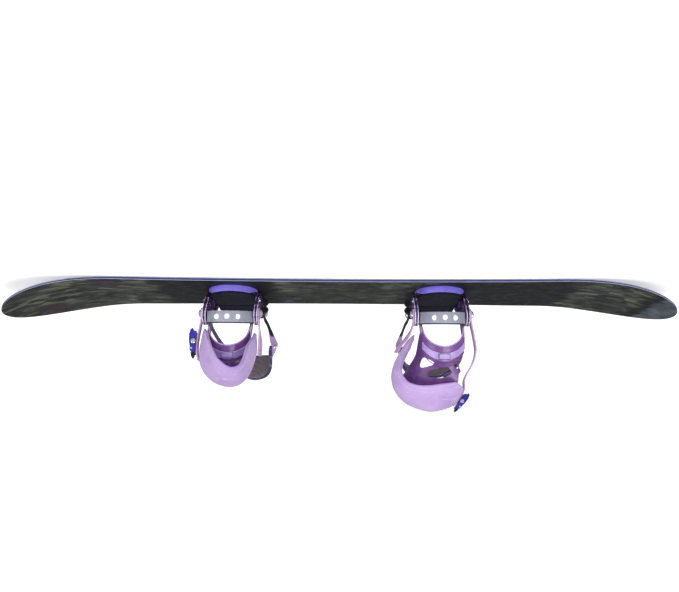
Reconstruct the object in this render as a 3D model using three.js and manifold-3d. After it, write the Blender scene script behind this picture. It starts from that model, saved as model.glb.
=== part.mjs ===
// Snowboard with two strap bindings, in millimetres. X runs along the board, +Y is the toe side, +Z is up,
// and the origin is the centre of the flat of the base. Each binding is built once in its own frame
// (x outwards from the middle of the board, y to the toes, z up from the deck) and mirrored for the
// other foot.
import * as THREE from 'three';
import { mergeVertices } from 'three/addons/utils/BufferGeometryUtils.js';
import Module from 'manifold-3d';

const wasm = await Module();
wasm.setup();

// Driving dimensions of the board.
const length = 1500;
const waistWidth = 243;
const tipWidth = 284;
const widestAt = 583;
const straightTo = 543;
const noseHalf = 10;
const tipPower = 2.1;
const riseFrom = 475;
const noseRise = 57;
const tailRise = 52;
const deckHeight = 8;
const tipThickness = 5.5;
const thinsFrom = 400;
const sheet = 0.7;
const baseThickness = 1.4;
const edgeSize = 2;
const sidewallWidth = 6;
const gap = 0.25;

// Driving dimensions of a binding.
const frontBindingX = 236;
const rearBindingX = -222;
const railInside = 51.5;
const railOutside = 59.5;
const heelcupHalf = 51;
const heelcupWall = 3;
const anklePivot = { y: -68, z: 59 };
const highbackPivot = { y: -46, z: 66 };
const toePivot = { y: 62, z: 36 };
const highbackWall = 3.6;
const discRadius = 36;
const padThickness = 8;
const bladeThickness = 3;
const bladeHalf = 11;
const bladeGap = 0.9;
const bladeRoot = 59.3;

// Colours and finishes.
const finishes = {
  base: [0x1d2350, 0.45, 0],
  steel: [0xc9cbd8, 0.35, 0.9],
  sidewall: [0x232a5c, 0.5, 0],
  wood: [0xc9a66b, 0.7, 0],
  topsheet: [0x17191b, 0.35, 0],
  violetRubber: [0x6f62cf, 0.6, 0],
  darkNylon: [0x3d2258, 0.3, 0],
  blackNylon: [0x121216, 0.45, 0],
  foam: [0x10101f, 0.85, 0],
  aluminium: [0x8e92a3, 0.35, 0.9],
  chrome: [0xd8d8de, 0.15, 1],
  purpleNylon: [0x65407a, 0.4, 0],
  lavenderNylon: [0xa98fc8, 0.4, 0],
  lavenderPad: [0xb79ad6, 0.5, 0],
  mauveNylon: [0xb090b8, 0.4, 0],
  capRubber: [0x5e4a56, 0.7, 0],
  blueNylon: [0x3a33b4, 0.3, 0],
};

const board = new THREE.Group();

// ---- Solids -------------------------------------------------------------------------------------------

// A closed geometry as a solid that can be cut and joined, with its faces pointing out.
function solid(geometry) {
  const bare = geometry.index ? geometry.toNonIndexed() : geometry.clone();
  for (const name of Object.keys(bare.attributes)) {
    if (name !== 'position') bare.deleteAttribute(name);
  }
  const merged = mergeVertices(bare, 1e-4);
  const corners = new Uint32Array(merged.index.array);
  const build = () => new wasm.Manifold(new wasm.Mesh({
    numProp: 3,
    vertProperties: merged.attributes.position.array,
    triVerts: corners,
  }));
  const made = build();
  if (made.volume() > 0) return made;
  for (let i = 0; i < corners.length; i += 3) {
    [corners[i + 1], corners[i + 2]] = [corners[i + 2], corners[i + 1]];
  }
  return build();
}

function geometryOf(body) {
  const mesh = body.getMesh();
  const result = new THREE.BufferGeometry();
  result.setAttribute('position', new THREE.BufferAttribute(mesh.vertProperties, 3));
  result.setIndex(new THREE.BufferAttribute(mesh.triVerts, 1));
  result.computeVertexNormals();
  return result;
}

function cut(body, tools) {
  return tools.reduce((left, tool) => left.subtract(tool), body);
}

function join(bodies) {
  return bodies.reduce((left, other) => left.add(other));
}

function place(parent, name, body, finish) {
  const [color, roughness, metalness] = finishes[finish];
  const material = new THREE.MeshStandardMaterial({ color, roughness, metalness });
  const mesh = new THREE.Mesh(geometryOf(body), material);
  mesh.name = name;
  parent.add(mesh);
}

// A box of unit size, divided along its three sides and carried point by point into shape. The map takes
// three numbers from 0 to 1 and gives a point.
function block(divisions, map) {
  const geometry = new THREE.BoxGeometry(1, 1, 1, ...divisions);
  const position = geometry.attributes.position;
  for (let i = 0; i < position.count; i += 1) {
    const point = map(position.getX(i) + 0.5, position.getY(i) + 0.5, position.getZ(i) + 0.5);
    position.setXYZ(i, point.x, point.y, point.z);
  }
  return solid(geometry);
}

// An outline in the plan, raised from one height to another.
function slab(shape, low, high, curveSegments = 6) {
  const geometry = new THREE.ExtrudeGeometry(shape, {
    depth: high - low, bevelEnabled: false, curveSegments,
  });
  return solid(geometry.translate(0, 0, low));
}

// A side outline, drawn with y to the right and z up, given a thickness across the binding.
function sidePlate(shape, from, to, curveSegments = 5) {
  const geometry = new THREE.ExtrudeGeometry(shape, {
    depth: to - from, bevelEnabled: false, curveSegments,
  });
  geometry.applyMatrix4(new THREE.Matrix4().makeBasis(
    new THREE.Vector3(0, 1, 0), new THREE.Vector3(0, 0, 1), new THREE.Vector3(1, 0, 0),
  ));
  return solid(geometry.translate(from, 0, 0));
}

// A rear outline, drawn with x to the right and z up, as a cutter right through from front to back.
function rearCutter(shape, curveSegments = 3) {
  const depth = 400;
  const geometry = new THREE.ExtrudeGeometry(shape, { depth, bevelEnabled: false, curveSegments });
  geometry.rotateX(Math.PI / 2);
  return solid(geometry.translate(0, depth / 2, 0));
}

function smoothShape(points) {
  return new THREE.Shape(new THREE.CatmullRomCurve3(
    points.map(([x, y]) => new THREE.Vector3(x, y, 0)), true, 'catmullrom', 0.5,
  ).getPoints(points.length * 2).slice(0, -1).map((p) => new THREE.Vector2(p.x, p.y)));
}

function polygon(points) {
  return new THREE.Shape(points.map(([x, y]) => new THREE.Vector2(x, y)));
}

function disc(x, y, radius) {
  return new THREE.Shape().absarc(x, y, radius, 0, 2 * Math.PI);
}

// A round piece about the x direction at a side position. Profile rows are [x, radius].
function turned(profile, side, pivot, segments = 10) {
  const rows = profile.map(([x, radius]) => new THREE.Vector2(radius, x));
  const geometry = new THREE.LatheGeometry(rows, segments);
  geometry.rotateZ(-Math.PI / 2);
  geometry.scale(side, 1, 1);
  return solid(geometry.translate(0, pivot.y, pivot.z));
}

// A value read from rows of [position, value], straight between them.
function along(rows, at, column = 1) {
  let index = 1;
  while (index < rows.length - 1 && rows[index][0] < at) index += 1;
  const low = rows[index - 1];
  const high = rows[index];
  const part = THREE.MathUtils.clamp((at - low[0]) / (high[0] - low[0]), 0, 1);
  return THREE.MathUtils.lerp(low[column], high[column], part);
}

// ---- Board --------------------------------------------------------------------------------------------

// Half the width of the board: a sidecut, a short stretch easing out of it, and rounded tips.
function halfWidth(x) {
  const distance = Math.abs(x);
  const ease = widestAt - straightTo;
  const bend = (tipWidth - waistWidth) / 2 / (straightTo ** 2 + straightTo * ease);
  if (distance <= widestAt) {
    const beyond = Math.max(distance - straightTo, 0);
    const eased = 2 * bend * straightTo * (beyond - beyond ** 2 / (2 * ease));
    return waistWidth / 2 + bend * Math.min(distance, straightTo) ** 2 + eased;
  }
  const part = (distance - widestAt) / (length / 2 - widestAt);
  return Math.max(tipWidth / 2 * Math.max(1 - part ** tipPower, 0) ** (1 / tipPower), noseHalf);
}

function rise(x) {
  const height = x > 0 ? noseRise : tailRise;
  const run = length / 2 - riseFrom;
  const radius = (run ** 2 + height ** 2) / (2 * height);
  const beyond = Math.max(Math.abs(x) - riseFrom, 0);
  return radius - Math.sqrt(radius ** 2 - beyond ** 2);
}

function thickness(x) {
  const part = (Math.abs(x) - thinsFrom) / (length / 2 - thinsFrom);
  return THREE.MathUtils.lerp(deckHeight, tipThickness, THREE.MathUtils.clamp(part, 0, 1));
}

// Places along the board where the outline has a point, close together round the tips.
function boardStations() {
  const half = [0, 130, 260, 390, 475, 498, 520, 542, 563, 583];
  const tipSteps = 12;
  for (let i = 1; i <= tipSteps; i += 1) {
    half.push(widestAt + (length / 2 - widestAt) * Math.sin(i / tipSteps * Math.PI / 2));
  }
  return [...half.slice(1).map((x) => -x).reverse(), ...half];
}

const stations = boardStations();

// A point of the outline drawn in by an inset, at a station and a height above the base.
function outlinePoint(x, side, inset, height) {
  const shrunk = x * (1 - 2 * inset / length);
  return new THREE.Vector3(shrunk, side * (halfWidth(x) - inset), rise(shrunk) + height(shrunk));
}

// A layer as wide as the board less an inset, between two heights above the base.
function layer(inset, low, high) {
  const spans = stations.length - 1;
  return block([spans, 1, 1], (a, b, c) => outlinePoint(
    stations[Math.round(a * spans)], b > 0.5 ? 1 : -1, inset, c > 0.5 ? high : low,
  ));
}

// A strip round the whole outline, between two insets and two heights.
function rim(outside, inside, low, high) {
  const spans = stations.length - 1;
  const around = 2 * (spans + 1);
  const profile = [[1, 0], [2, 0], [2, 1], [1, 1], [1, 0]].map(([r, h]) => new THREE.Vector2(r, h));
  const geometry = new THREE.LatheGeometry(profile, around);
  const position = geometry.attributes.position;
  for (let i = 0; i < position.count; i += 1) {
    const angle = Math.atan2(position.getX(i), position.getZ(i));
    const step = (Math.round(angle / (2 * Math.PI) * around) + around) % around;
    const side = step <= spans ? 1 : -1;
    const station = stations[side > 0 ? step : around - 1 - step];
    const inset = Math.hypot(position.getX(i), position.getZ(i)) > 1.5 ? outside : inside;
    const point = outlinePoint(station, side, inset, position.getY(i) > 0.5 ? high : low);
    position.setXYZ(i, point.x, point.y, point.z);
  }
  return solid(geometry);
}

function buildBoard() {
  const underTopsheet = (x) => thickness(x) - sheet - gap;
  place(board, 'base_sheet', layer(edgeSize + gap, () => 0, () => baseThickness), 'base');
  place(board, 'steel_edge', rim(0, edgeSize, () => 0, () => edgeSize), 'steel');
  place(board, 'sidewall', rim(0, sidewallWidth, () => edgeSize + gap, underTopsheet), 'sidewall');
  place(board, 'wood_core', layer(sidewallWidth + gap, () => edgeSize + gap, underTopsheet), 'wood');
  place(board, 'topsheet', layer(0, (x) => thickness(x) - sheet, thickness), 'topsheet');
}

// ---- Chassis of a binding -----------------------------------------------------------------------------

// A plan outline with a straight front and a rounded heel.
function heelShape(half, front, centre, depth) {
  const shape = new THREE.Shape();
  shape.moveTo(half, front);
  shape.lineTo(-half, front);
  shape.lineTo(-half, centre);
  shape.absellipse(0, centre, half, depth, Math.PI, 2 * Math.PI);
  shape.lineTo(half, front);
  return shape;
}

function bushingPad() {
  const half = 53.5;
  const heelDepth = 61;
  const heelCentre = -33;
  const lip = 4;
  const plate = slab(heelShape(half, 100, heelCentre, heelDepth), 0.3, 3.3, 12);
  const wall = slab(heelShape(half, heelCentre, heelCentre, heelDepth), 0.3, 13.7, 12);
  const inside = slab(heelShape(half - lip, heelCentre + 1, heelCentre, heelDepth - lip), 3.3, 20, 12);
  const slope = sidePlate(polygon([[-80, 14], [-20, 14], [-20, 3.3], [-40, 3.3]]), -80, 80);
  return join([plate, cut(wall, [inside, slope])]);
}

// The side rail seen from the side: a low toe end, a boss for the toe strap and a tall rear lobe.
function railShape() {
  return smoothShape([
    [104, 4], [108, 10], [100, 18], [84, 26], [72, 44], [56, 47], [40, 40], [14, 37], [-8, 48], [-24, 68],
    [-42, 79], [-62, 82], [-79, 76], [-85, 62], [-76, 46], [-58, 28], [-42, 16], [-30, 10], [-24, 4],
    [20, 3.7], [64, 3.7],
  ]);
}

function baseplate() {
  const floorLow = 3.6;
  const floorHigh = 11;
  const floor = slab(heelShape(49.2, 108, -33, 56.7), floorLow, floorHigh, 10);
  const wings = slab(polygon([[-railOutside, -24], [railOutside, -24], [railOutside, 100],
    [-railOutside, 100]]), floorLow, floorHigh);
  const rails = [[-railOutside, -railInside], [railInside, railOutside]]
    .map(([from, to]) => sidePlate(railShape(), from, to));
  const discSeat = [
    slab(disc(0, 0, discRadius - 4.6), 0, 20, 12),
    slab(disc(0, 0, discRadius + 0.4), 6.9, 20, 12),
  ];
  const windows = [
    smoothShape([[4, 16], [34, 16], [44, 24], [34, 30], [8, 28], [-4, 24]]),
    smoothShape([[-28, 30], [-16, 34], [-24, 50], [-44, 58], [-52, 48], [-42, 34]]),
  ].map((shape) => sidePlate(shape, -80, 80, 4));
  const holes = [[anklePivot, 4.3], [highbackPivot, 4.3], [toePivot, 4.3]].map(([pivot, radius]) => (
    sidePlate(disc(pivot.y, pivot.z, radius), -80, 80, 4)));
  const arch = sidePlate(polygon([[-22, 0], [-22, 3.8], [100, 3.8], [100, 0]]), -80, 80);
  return cut(join([floor, wings, ...rails]), [...discSeat, ...windows, ...holes, arch]);
}

function mountingDisc() {
  const rows = [[0, 3.8], [discRadius - 5, 3.8], [discRadius - 5, 7.2], [discRadius, 7.2],
    [discRadius, 10.4], [discRadius - 3, 10.9], [0, 10.9]];
  const geometry = new THREE.LatheGeometry(rows.map(([r, z]) => new THREE.Vector2(r, z)), 24);
  geometry.rotateX(Math.PI / 2);
  const slots = [-1, 1].flatMap((sx) => [-1, 1].map((sy) => slab(disc(20 * sx, 20 * sy, 4.4), 0, 20, 3)));
  return cut(solid(geometry), slots);
}

function footbed() {
  const shape = heelShape(48.5, 58, -38, 44);
  return slab(shape, 11.3, 17, 10);
}

function toeRamp() {
  const side = polygon([[63, 11.3], [116, 11.3], [119, 15], [117, 21], [110, 22], [64, 17.5]]);
  return sidePlate(side, -48, 48);
}

// The aluminium hoop behind the heel.
function heelcup() {
  const rear = -121;
  const centre = -62;
  const front = -8;
  const straight = front - centre;
  const points = 26;
  const hoop = block([points, 1, 1], (a, b, c) => {
    const inset = b > 0.5 ? 0 : heelcupWall;
    const half = heelcupHalf - inset;
    const depth = centre - rear - inset;
    const turn = (a - 0.5) * 2;
    const arcShare = 0.72;
    const onArc = Math.abs(turn) < arcShare;
    const angle = THREE.MathUtils.clamp(turn / arcShare, -1, 1) * Math.PI / 2;
    const forward = onArc ? 0 : (Math.abs(turn) - arcShare) / (1 - arcShare) * straight;
    const y = centre - depth * Math.cos(angle) + forward;
    const tilt = 0.15 * (y - rear);
    const height = c > 0.5 ? 87 - forward * 0.12 : 62;
    return new THREE.Vector3(half * Math.sin(angle), y, height - tilt);
  });
  const sights = [-22, 0, 22].map((x) => rearCutter(disc(x, 74, 4.5)));
  const behind = slab(polygon([[-60, -60], [60, -60], [60, 200], [-60, 200]]), 0, 200);
  const pivotHoles = sidePlate(disc(highbackPivot.y, highbackPivot.z, 4.3), -80, 80, 4);
  return cut(hoop, [...sights.map((tool) => tool.subtract(behind)), pivotHoles]);
}

// ---- Highback -----------------------------------------------------------------------------------------

const highbackLean = 0.325;
const highbackLow = 90;
const highbackDepth = 54;

// The shell as a surface: angle goes round from the back, height goes up, offset is outwards.
function shellPoint(rows, angle, z, offset) {
  const half = along(rows, z, 1) + offset;
  const centre = -62 + highbackLean * (z - highbackLow);
  return new THREE.Vector3(half * Math.sin(angle), centre - (highbackDepth + offset) * Math.cos(angle), z);
}

// The angle at which the shell has a given sideways place.
function shellAngle(rows, x, z) {
  return Math.asin(THREE.MathUtils.clamp(x / along(rows, z, 1), -1, 1));
}

// A patch of the shell between an inner and an outer side edge, two heights and two offsets.
function shellPatch(rows, divisions, edges, heights, offsets) {
  return block(divisions, (a, b, c) => {
    const z = THREE.MathUtils.lerp(heights[0], heights[1], c);
    const [inner, outer] = edges(z);
    const angle = THREE.MathUtils.lerp(shellAngle(rows, inner, z), shellAngle(rows, outer, z), a);
    return shellPoint(rows, angle, z, THREE.MathUtils.lerp(offsets[0], offsets[1], b));
  });
}

function heelOpening(growth = 0) {
  const shape = new THREE.Shape();
  shape.moveTo(44.2 + growth, 60);
  shape.lineTo(44.2 + growth, 88);
  shape.absellipse(0, 88, 44.2 + growth, 44 + growth, 0, Math.PI);
  shape.lineTo(-44.2 - growth, 60);
  return shape;
}

// The three windows of the highback, drawn larger by a margin for the pad in front of it.
function highbackWindows(rows, margin, shift) {
  const reach = (x, z) => x * along(rows, z, 1) / along(rows, 150, 1);
  const grow = (points) => {
    const middle = points.reduce((sum, p) => [sum[0] + p[0] / points.length, sum[1] + p[1] / points.length],
      [0, 0]);
    return points.map(([x, z]) => {
      const away = Math.hypot(x - middle[0], z - middle[1]);
      const scale = 1 + margin / away;
      return [shift + reach(middle[0] + (x - middle[0]) * scale, z), middle[1] + (z - middle[1]) * scale];
    });
  };
  return [
    [[-38, 154], [-27, 158], [-15, 167], [-26, 173], [-37, 174], [-40, 164]],
    [[-22, 184], [-6, 177], [8, 176], [14, 184], [4, 195], [-12, 197], [-22, 192]],
    [[22, 160], [27, 166], [26, 178], [21, 174]],
  ].map((points) => rearCutter(smoothShape(grow(points))));
}

function highback(foot) {
  const heights = [highbackLow, foot.highbackTop];
  const edges = (z) => [along(foot.highback, z, 2), along(foot.highback, z, 3)];
  const shell = shellPatch(foot.highback, [14, 1, 10], edges, heights, [-highbackWall, 0]);
  const ear = smoothShape([
    [-33, 69], [-37, 57], [-48, 53], [-58, 59], [-66, 76], [-77, 92], [-74, 108], [-60, 106], [-42, 86],
  ]);
  const ears = [-1, 1].map((side) => sidePlate(
    ear, Math.min(side * 43, side * 46.6), Math.max(side * 43, side * 46.6), 3,
  ));
  const bore = sidePlate(disc(highbackPivot.y, highbackPivot.z, 4.3), -80, 80, 4);
  const open = rearCutter(heelOpening(), 10);
  const windows = highbackWindows(foot.highback, 0, foot.windowShift);
  return cut(join([cut(shell, [open]), ...ears]), [bore, ...windows]);
}

function highbackPad(foot) {
  const low = 138;
  const high = foot.highbackTop - 13;
  const edges = (z) => [along(foot.highback, z, 2) + 8, along(foot.highback, z, 3) - 8];
  const body = shellPatch(foot.highback, [14, 1, 6], edges, [low, high], [-9.8, -highbackWall - 1]);
  return cut(body, [rearCutter(heelOpening(7), 8), ...highbackWindows(foot.highback, 3, foot.windowShift)]);
}

// The forward-lean hoop: a crescent that lies on the back of the shell.
function leanArch(foot) {
  const half = 43;
  return block([16, 1, 1], (a, b, c) => {
    const x = THREE.MathUtils.lerp(-half, half, a);
    const inner = highbackLow + 57 * Math.sqrt(1 - (x / 52) ** 2);
    const outer = highbackLow + 72 * Math.sqrt(1 - (x / 56) ** 2);
    const z = THREE.MathUtils.lerp(inner, outer, c);
    return shellPoint(foot.highback, shellAngle(foot.highback, x, z), z, b > 0.5 ? 3.5 : 0.5);
  });
}

function leanLock(foot) {
  const half = 10;
  return block([4, 1, 1], (a, b, c) => {
    const x = THREE.MathUtils.lerp(-half, half, a);
    const z = THREE.MathUtils.lerp(149.5, 159, c);
    return shellPoint(foot.highback, shellAngle(foot.highback, x, z), z, b > 0.5 ? 7.9 : 4.5);
  });
}

function pivotBolt(side) {
  return turned([[39.4, 0], [39.4, 5.5], [40.2, 7], [42.6, 7], [42.6, 3.9], [59.2, 3.9], [59.2, 0]], side,
    highbackPivot);
}

// ---- Straps -------------------------------------------------------------------------------------------

// A strap as a band through two or three edge lines, from its rear edge to its front edge. Each row holds
// one point of every line. Station counts rows, across runs from 0 at the rear to 1, out is mm off the band.
function strapSurface(rows) {
  const lines = rows[0].map((_, line) => new THREE.CatmullRomCurve3(
    rows.map((row) => new THREE.Vector3(...row[line])),
  ));
  const point = (station, across) => {
    const t = THREE.MathUtils.clamp(station / (rows.length - 1), 0, 1);
    const place = across * (lines.length - 1);
    const line = THREE.MathUtils.clamp(Math.floor(place), 0, lines.length - 2);
    return lines[line].getPoint(t).lerp(lines[line + 1].getPoint(t), place - line);
  };
  const step = 0.04;
  return (station, across, out) => {
    const end = rows.length - 1;
    const before = point(Math.max(station - step, 0), across);
    const ahead = point(Math.min(station + step, end), across).sub(before);
    const width = point(station, across + step).sub(point(station, across - step));
    const normal = ahead.cross(width).normalize();
    return point(station, across).addScaledVector(normal, out);
  };
}

// A padded piece of a strap, drawn in at both ends, lying on the inside of its surface.
function pad(rows, thick, spans) {
  const surface = strapSurface(rows);
  const taper = (a) => Math.min(1, Math.sqrt(Math.max(0.2, Math.min(a, 1 - a) * 16)));
  return block([spans, rows[0].length - 1, 1], (a, b, c) => surface(
    a * (rows.length - 1), 0.5 + (b - 0.5) * taper(a), (c - 1) * thick,
  ));
}

// Rows for a blade of even width along a list of middle points, with one direction across. A fourth number in
// a point twists the blade there, by turning that direction towards x.
function bladeRows(points, across, half) {
  return points.map(([x, y, z, twist = 0]) => {
    const reach = new THREE.Vector3(twist, across[1], across[2]).normalize().multiplyScalar(half);
    const middle = new THREE.Vector3(x, y, z);
    return [middle.clone().sub(reach).toArray(), middle.clone().add(reach).toArray()];
  });
}

// A blade that runs up from a bolt, with a round eye. Its surface starts at the pivot, bladeGap inside it.
function blade(points, across, half, pivot, side, spans) {
  const surface = strapSurface(bladeRows(points, across, half));
  const last = points.length - 1;
  const outs = [bladeGap, bladeGap + bladeThickness];
  const body = block([spans, 1, 1], (a, b, c) => {
    const narrow = a > 0.97 ? 0.7 : 1;
    return surface(a * last, 0.5 + (b - 0.5) * narrow, -side * THREE.MathUtils.lerp(outs[0], outs[1], c));
  });
  const faces = outs.map((out) => side * (bladeRoot + out));
  const eye = sidePlate(disc(pivot.y, pivot.z, half + 1.5), Math.min(...faces), Math.max(...faces), 5);
  const bore = sidePlate(disc(pivot.y, pivot.z, 4.3), -90, 90, 4);
  return cut(join([body, eye]), [bore]);
}

function strapBolt(side, pivot) {
  const profile = [[52.4, 0], [52.4, 3.9], [63.6, 3.9], [63.6, 8], [66.4, 8], [68.6, 5.5], [68.6, 0]];
  return turned(profile, side, pivot);
}

// Where a buckle sits: its middle, the way its lever points, and the way out from the strap.
function buckleFrame(seat) {
  const tip = new THREE.Vector3(...seat.tip).normalize();
  const width = new THREE.Vector3(...seat.out).cross(tip).normalize();
  const out = new THREE.Vector3().crossVectors(tip, width);
  return new THREE.Matrix4().makeBasis(width, tip, out).setPosition(...seat.at);
}

// A buckle: a channel base, a ratchet lever hinged in its cheeks and a small release lever behind it. They
// are drawn from the side with the lever's tip to the right and the way out upwards.
function buckle(seat, scale, half) {
  const frame = buckleFrame(seat);
  const put = (points, from, to) => sidePlate(
    polygon(points.map(([y, z]) => [y * scale, z * scale])), from, to,
  );
  const cheek = [[-23, 0], [24, 0], [25, 5], [19, 9], [6, 10.5], [-8, 12], [-18, 12], [-23, 7]];
  const base = join([
    put([[-23, 0], [23, 0], [23, 2.2], [-23, 2.2]], -half, half),
    put(cheek, -half, -half + 1.8),
    put(cheek, half - 1.8, half),
  ]);
  const inner = half - 2.3;
  const lever = put([[-18, 7], [-17, 5.6], [-14, 4.7], [-8, 5], [14, 7.4], [24, 8], [29, 7], [31, 9.5],
    [28, 13.5], [17, 16], [2, 15], [-9, 12.6], [-15, 12.4], [-18, 10.5]], -inner, inner);
  const release = put([[-31, 5], [-26, 3], [-19.6, 3.4], [-19.2, 8], [-23, 9.6], [-31, 8]], -inner, inner);
  return Object.fromEntries(Object.entries({ base, lever, release }).map(([name, body]) => (
    [name, body.transform(frame.toArray())])));
}

function ankleStrap(group, prefix, foot) {
  const across = [0, 1, 0.08];
  const rows = foot.ankle.map((row) => {
    const [rear, middle] = [row.slice(3), row.slice(0, 3)];
    const [dx, dz] = [foot.loopMiddle[0] - middle[0], foot.loopMiddle[1] - middle[2]];
    const drop = foot.padDrop / Math.hypot(dx, dz);
    return [rear, middle, [middle[0] + dx * drop, middle[1] + foot.padRoll, middle[2] + dz * drop]];
  });
  place(group, `${prefix}ankle_pad`, pad(rows, padThickness, 20), 'lavenderPad');
  place(group, `${prefix}ankle_tail`, blade(foot.tail, across, bladeHalf, anklePivot, -1, 8), 'mauveNylon');
  place(group, `${prefix}ankle_ladder`, blade(foot.ladder, across, bladeHalf, anklePivot, 1, 12),
    'mauveNylon');
  const parts = buckle(foot.buckle, foot.buckleScale, 15);
  place(group, `${prefix}ankle_buckle`, parts.base, 'blueNylon');
  place(group, `${prefix}ankle_lever`, parts.lever, 'blueNylon');
  place(group, `${prefix}ankle_release`, parts.release, 'blackNylon');
  place(group, `${prefix}ankle_bolt_inner`, strapBolt(-1, anklePivot), 'chrome');
  place(group, `${prefix}ankle_bolt_outer`, strapBolt(1, anklePivot), 'chrome');
}

// A point of the toe strap, which leans forwards from its pivot.
function toePoint(foot, x, z) {
  return new THREE.Vector3(x, toePivot.y + (z - toePivot.z) * foot.toeLean, z);
}

// The toe cap. Rows are [x, height, half its width, how steeply that width falls towards the toe].
function toeCap(foot) {
  const rows = foot.toeCap.map(([x, z, half, fall]) => {
    const reach = new THREE.Vector3(0, 1, -fall).normalize().multiplyScalar(half);
    const middle = toePoint(foot, x, z);
    return [middle.clone().sub(reach).toArray(), middle.clone().add(reach).toArray()];
  });
  return pad(rows, 6, 20);
}

function toeStrap(group, prefix, foot) {
  const across = [0, 1, -foot.toeLean];
  const half = 9;
  const [tail, ladder] = [foot.toeTail, foot.toeLadder].map((path) => (
    path.map(([x, z, twist]) => [...toePoint(foot, x, z).toArray(), twist])));
  place(group, `${prefix}toe_cap`, toeCap(foot), 'capRubber');
  place(group, `${prefix}toe_tail`, blade(tail, across, half, toePivot, -1, 12), 'mauveNylon');
  place(group, `${prefix}toe_ladder`, blade(ladder, across, half, toePivot, 1, 10), 'darkNylon');
  const parts = buckle(foot.toeBuckle, 0.8, 12.5);
  place(group, `${prefix}toe_buckle`, parts.base, 'blackNylon');
  place(group, `${prefix}toe_lever`, parts.lever, 'blueNylon');
  place(group, `${prefix}toe_bolt_inner`, strapBolt(-1, toePivot), 'chrome');
  place(group, `${prefix}toe_bolt_outer`, strapBolt(1, toePivot), 'chrome');
}

// ---- Both bindings ------------------------------------------------------------------------------------

// Highback rows are [height, half-width of the curve, inner edge, outer edge]. Ankle rows are a point of the
// pad's ridge and one of its rear edge, from the inner side over the top to the outer side; its front edge
// lies padRoll ahead of the ridge. All heights are above the deck. The rear foot's loop and highback lean
// inwards.
const frontFoot = {
  padRoll: 12,
  padDrop: 1,
  loopMiddle: [0, 140],
  buckleScale: 1,
  windowShift: 0,
  highbackTop: 207,
  highback: [[90, 46.5, -46.3, 46.3], [130, 48, -46, 46], [160, 51, -47, 47], [185, 53, -43, 44],
    [198, 54, -36, 36], [207, 55, -22, 22]],
  ankle: [
    [-59.5, -68, 104, -54, -96, 102], [-60, -82, 147, -48, -132, 144], [-54.5, -88, 173, -44, -140, 165],
    [-45, -91, 196, -37, -143, 180], [-29, -92, 212.5, -26, -143, 185.5], [-8, -93, 219, -14, -143, 186.5],
    [14, -92, 215, -2, -143, 182], [32, -91, 206, 8, -142, 174], [49, -90, 189, 17, -140, 165.5],
    [60, -88, 166, 25, -135, 152], [62, -84, 140, 35, -122, 134], [59.5, -72, 108, 48, -101, 107],
    [58, -66, 94, 50, -94, 94],
  ],
  tail: [[-bladeRoot, -68, 59], [-bladeRoot, -68, 73], [-61.5, -69, 95], [-64, -70, 118, -0.2],
    [-64, -72, 140, -0.25], [-63, -74, 152, -0.25]],
  ladder: [[bladeRoot, -68, 59], [bladeRoot, -68, 73], [62, -69, 94], [64.5, -70, 112], [65.5, -72, 132],
    [64.5, -74, 150], [61.5, -75, 162]],
  buckle: { at: [70.4, -71, 125], tip: [-0.02, 0.1, -0.99], out: [1, -0.05, -0.02] },
  toeLean: 0.667,
  toeTail: [[-bladeRoot, 36], [-bladeRoot, 47], [-66, 60], [-72, 76, -0.2], [-77, 92, -0.9],
    [-82, 104, -1.1]],
  toeLadder: [[bladeRoot, 36], [bladeRoot, 48], [61.5, 62], [54, 80], [43, 97], [30, 113], [15, 129],
    [0, 144]],
  toeCap: [[-75, 108, 14, 0.7], [-77.5, 127, 19, 0.8], [-75.5, 142, 27, 1], [-67, 150, 34, 1.2],
    [-50, 154, 38, 1.3], [-30, 155, 38, 1.3], [-12, 151, 34, 1.2], [3, 139, 25, 1], [14, 126, 16, 0.8]],
  toeBuckle: { at: [27.5, 125, 124.4], tip: [0.62, -0.44, -0.65], out: [0.77, 0.2, 0.6] },
};

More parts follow.
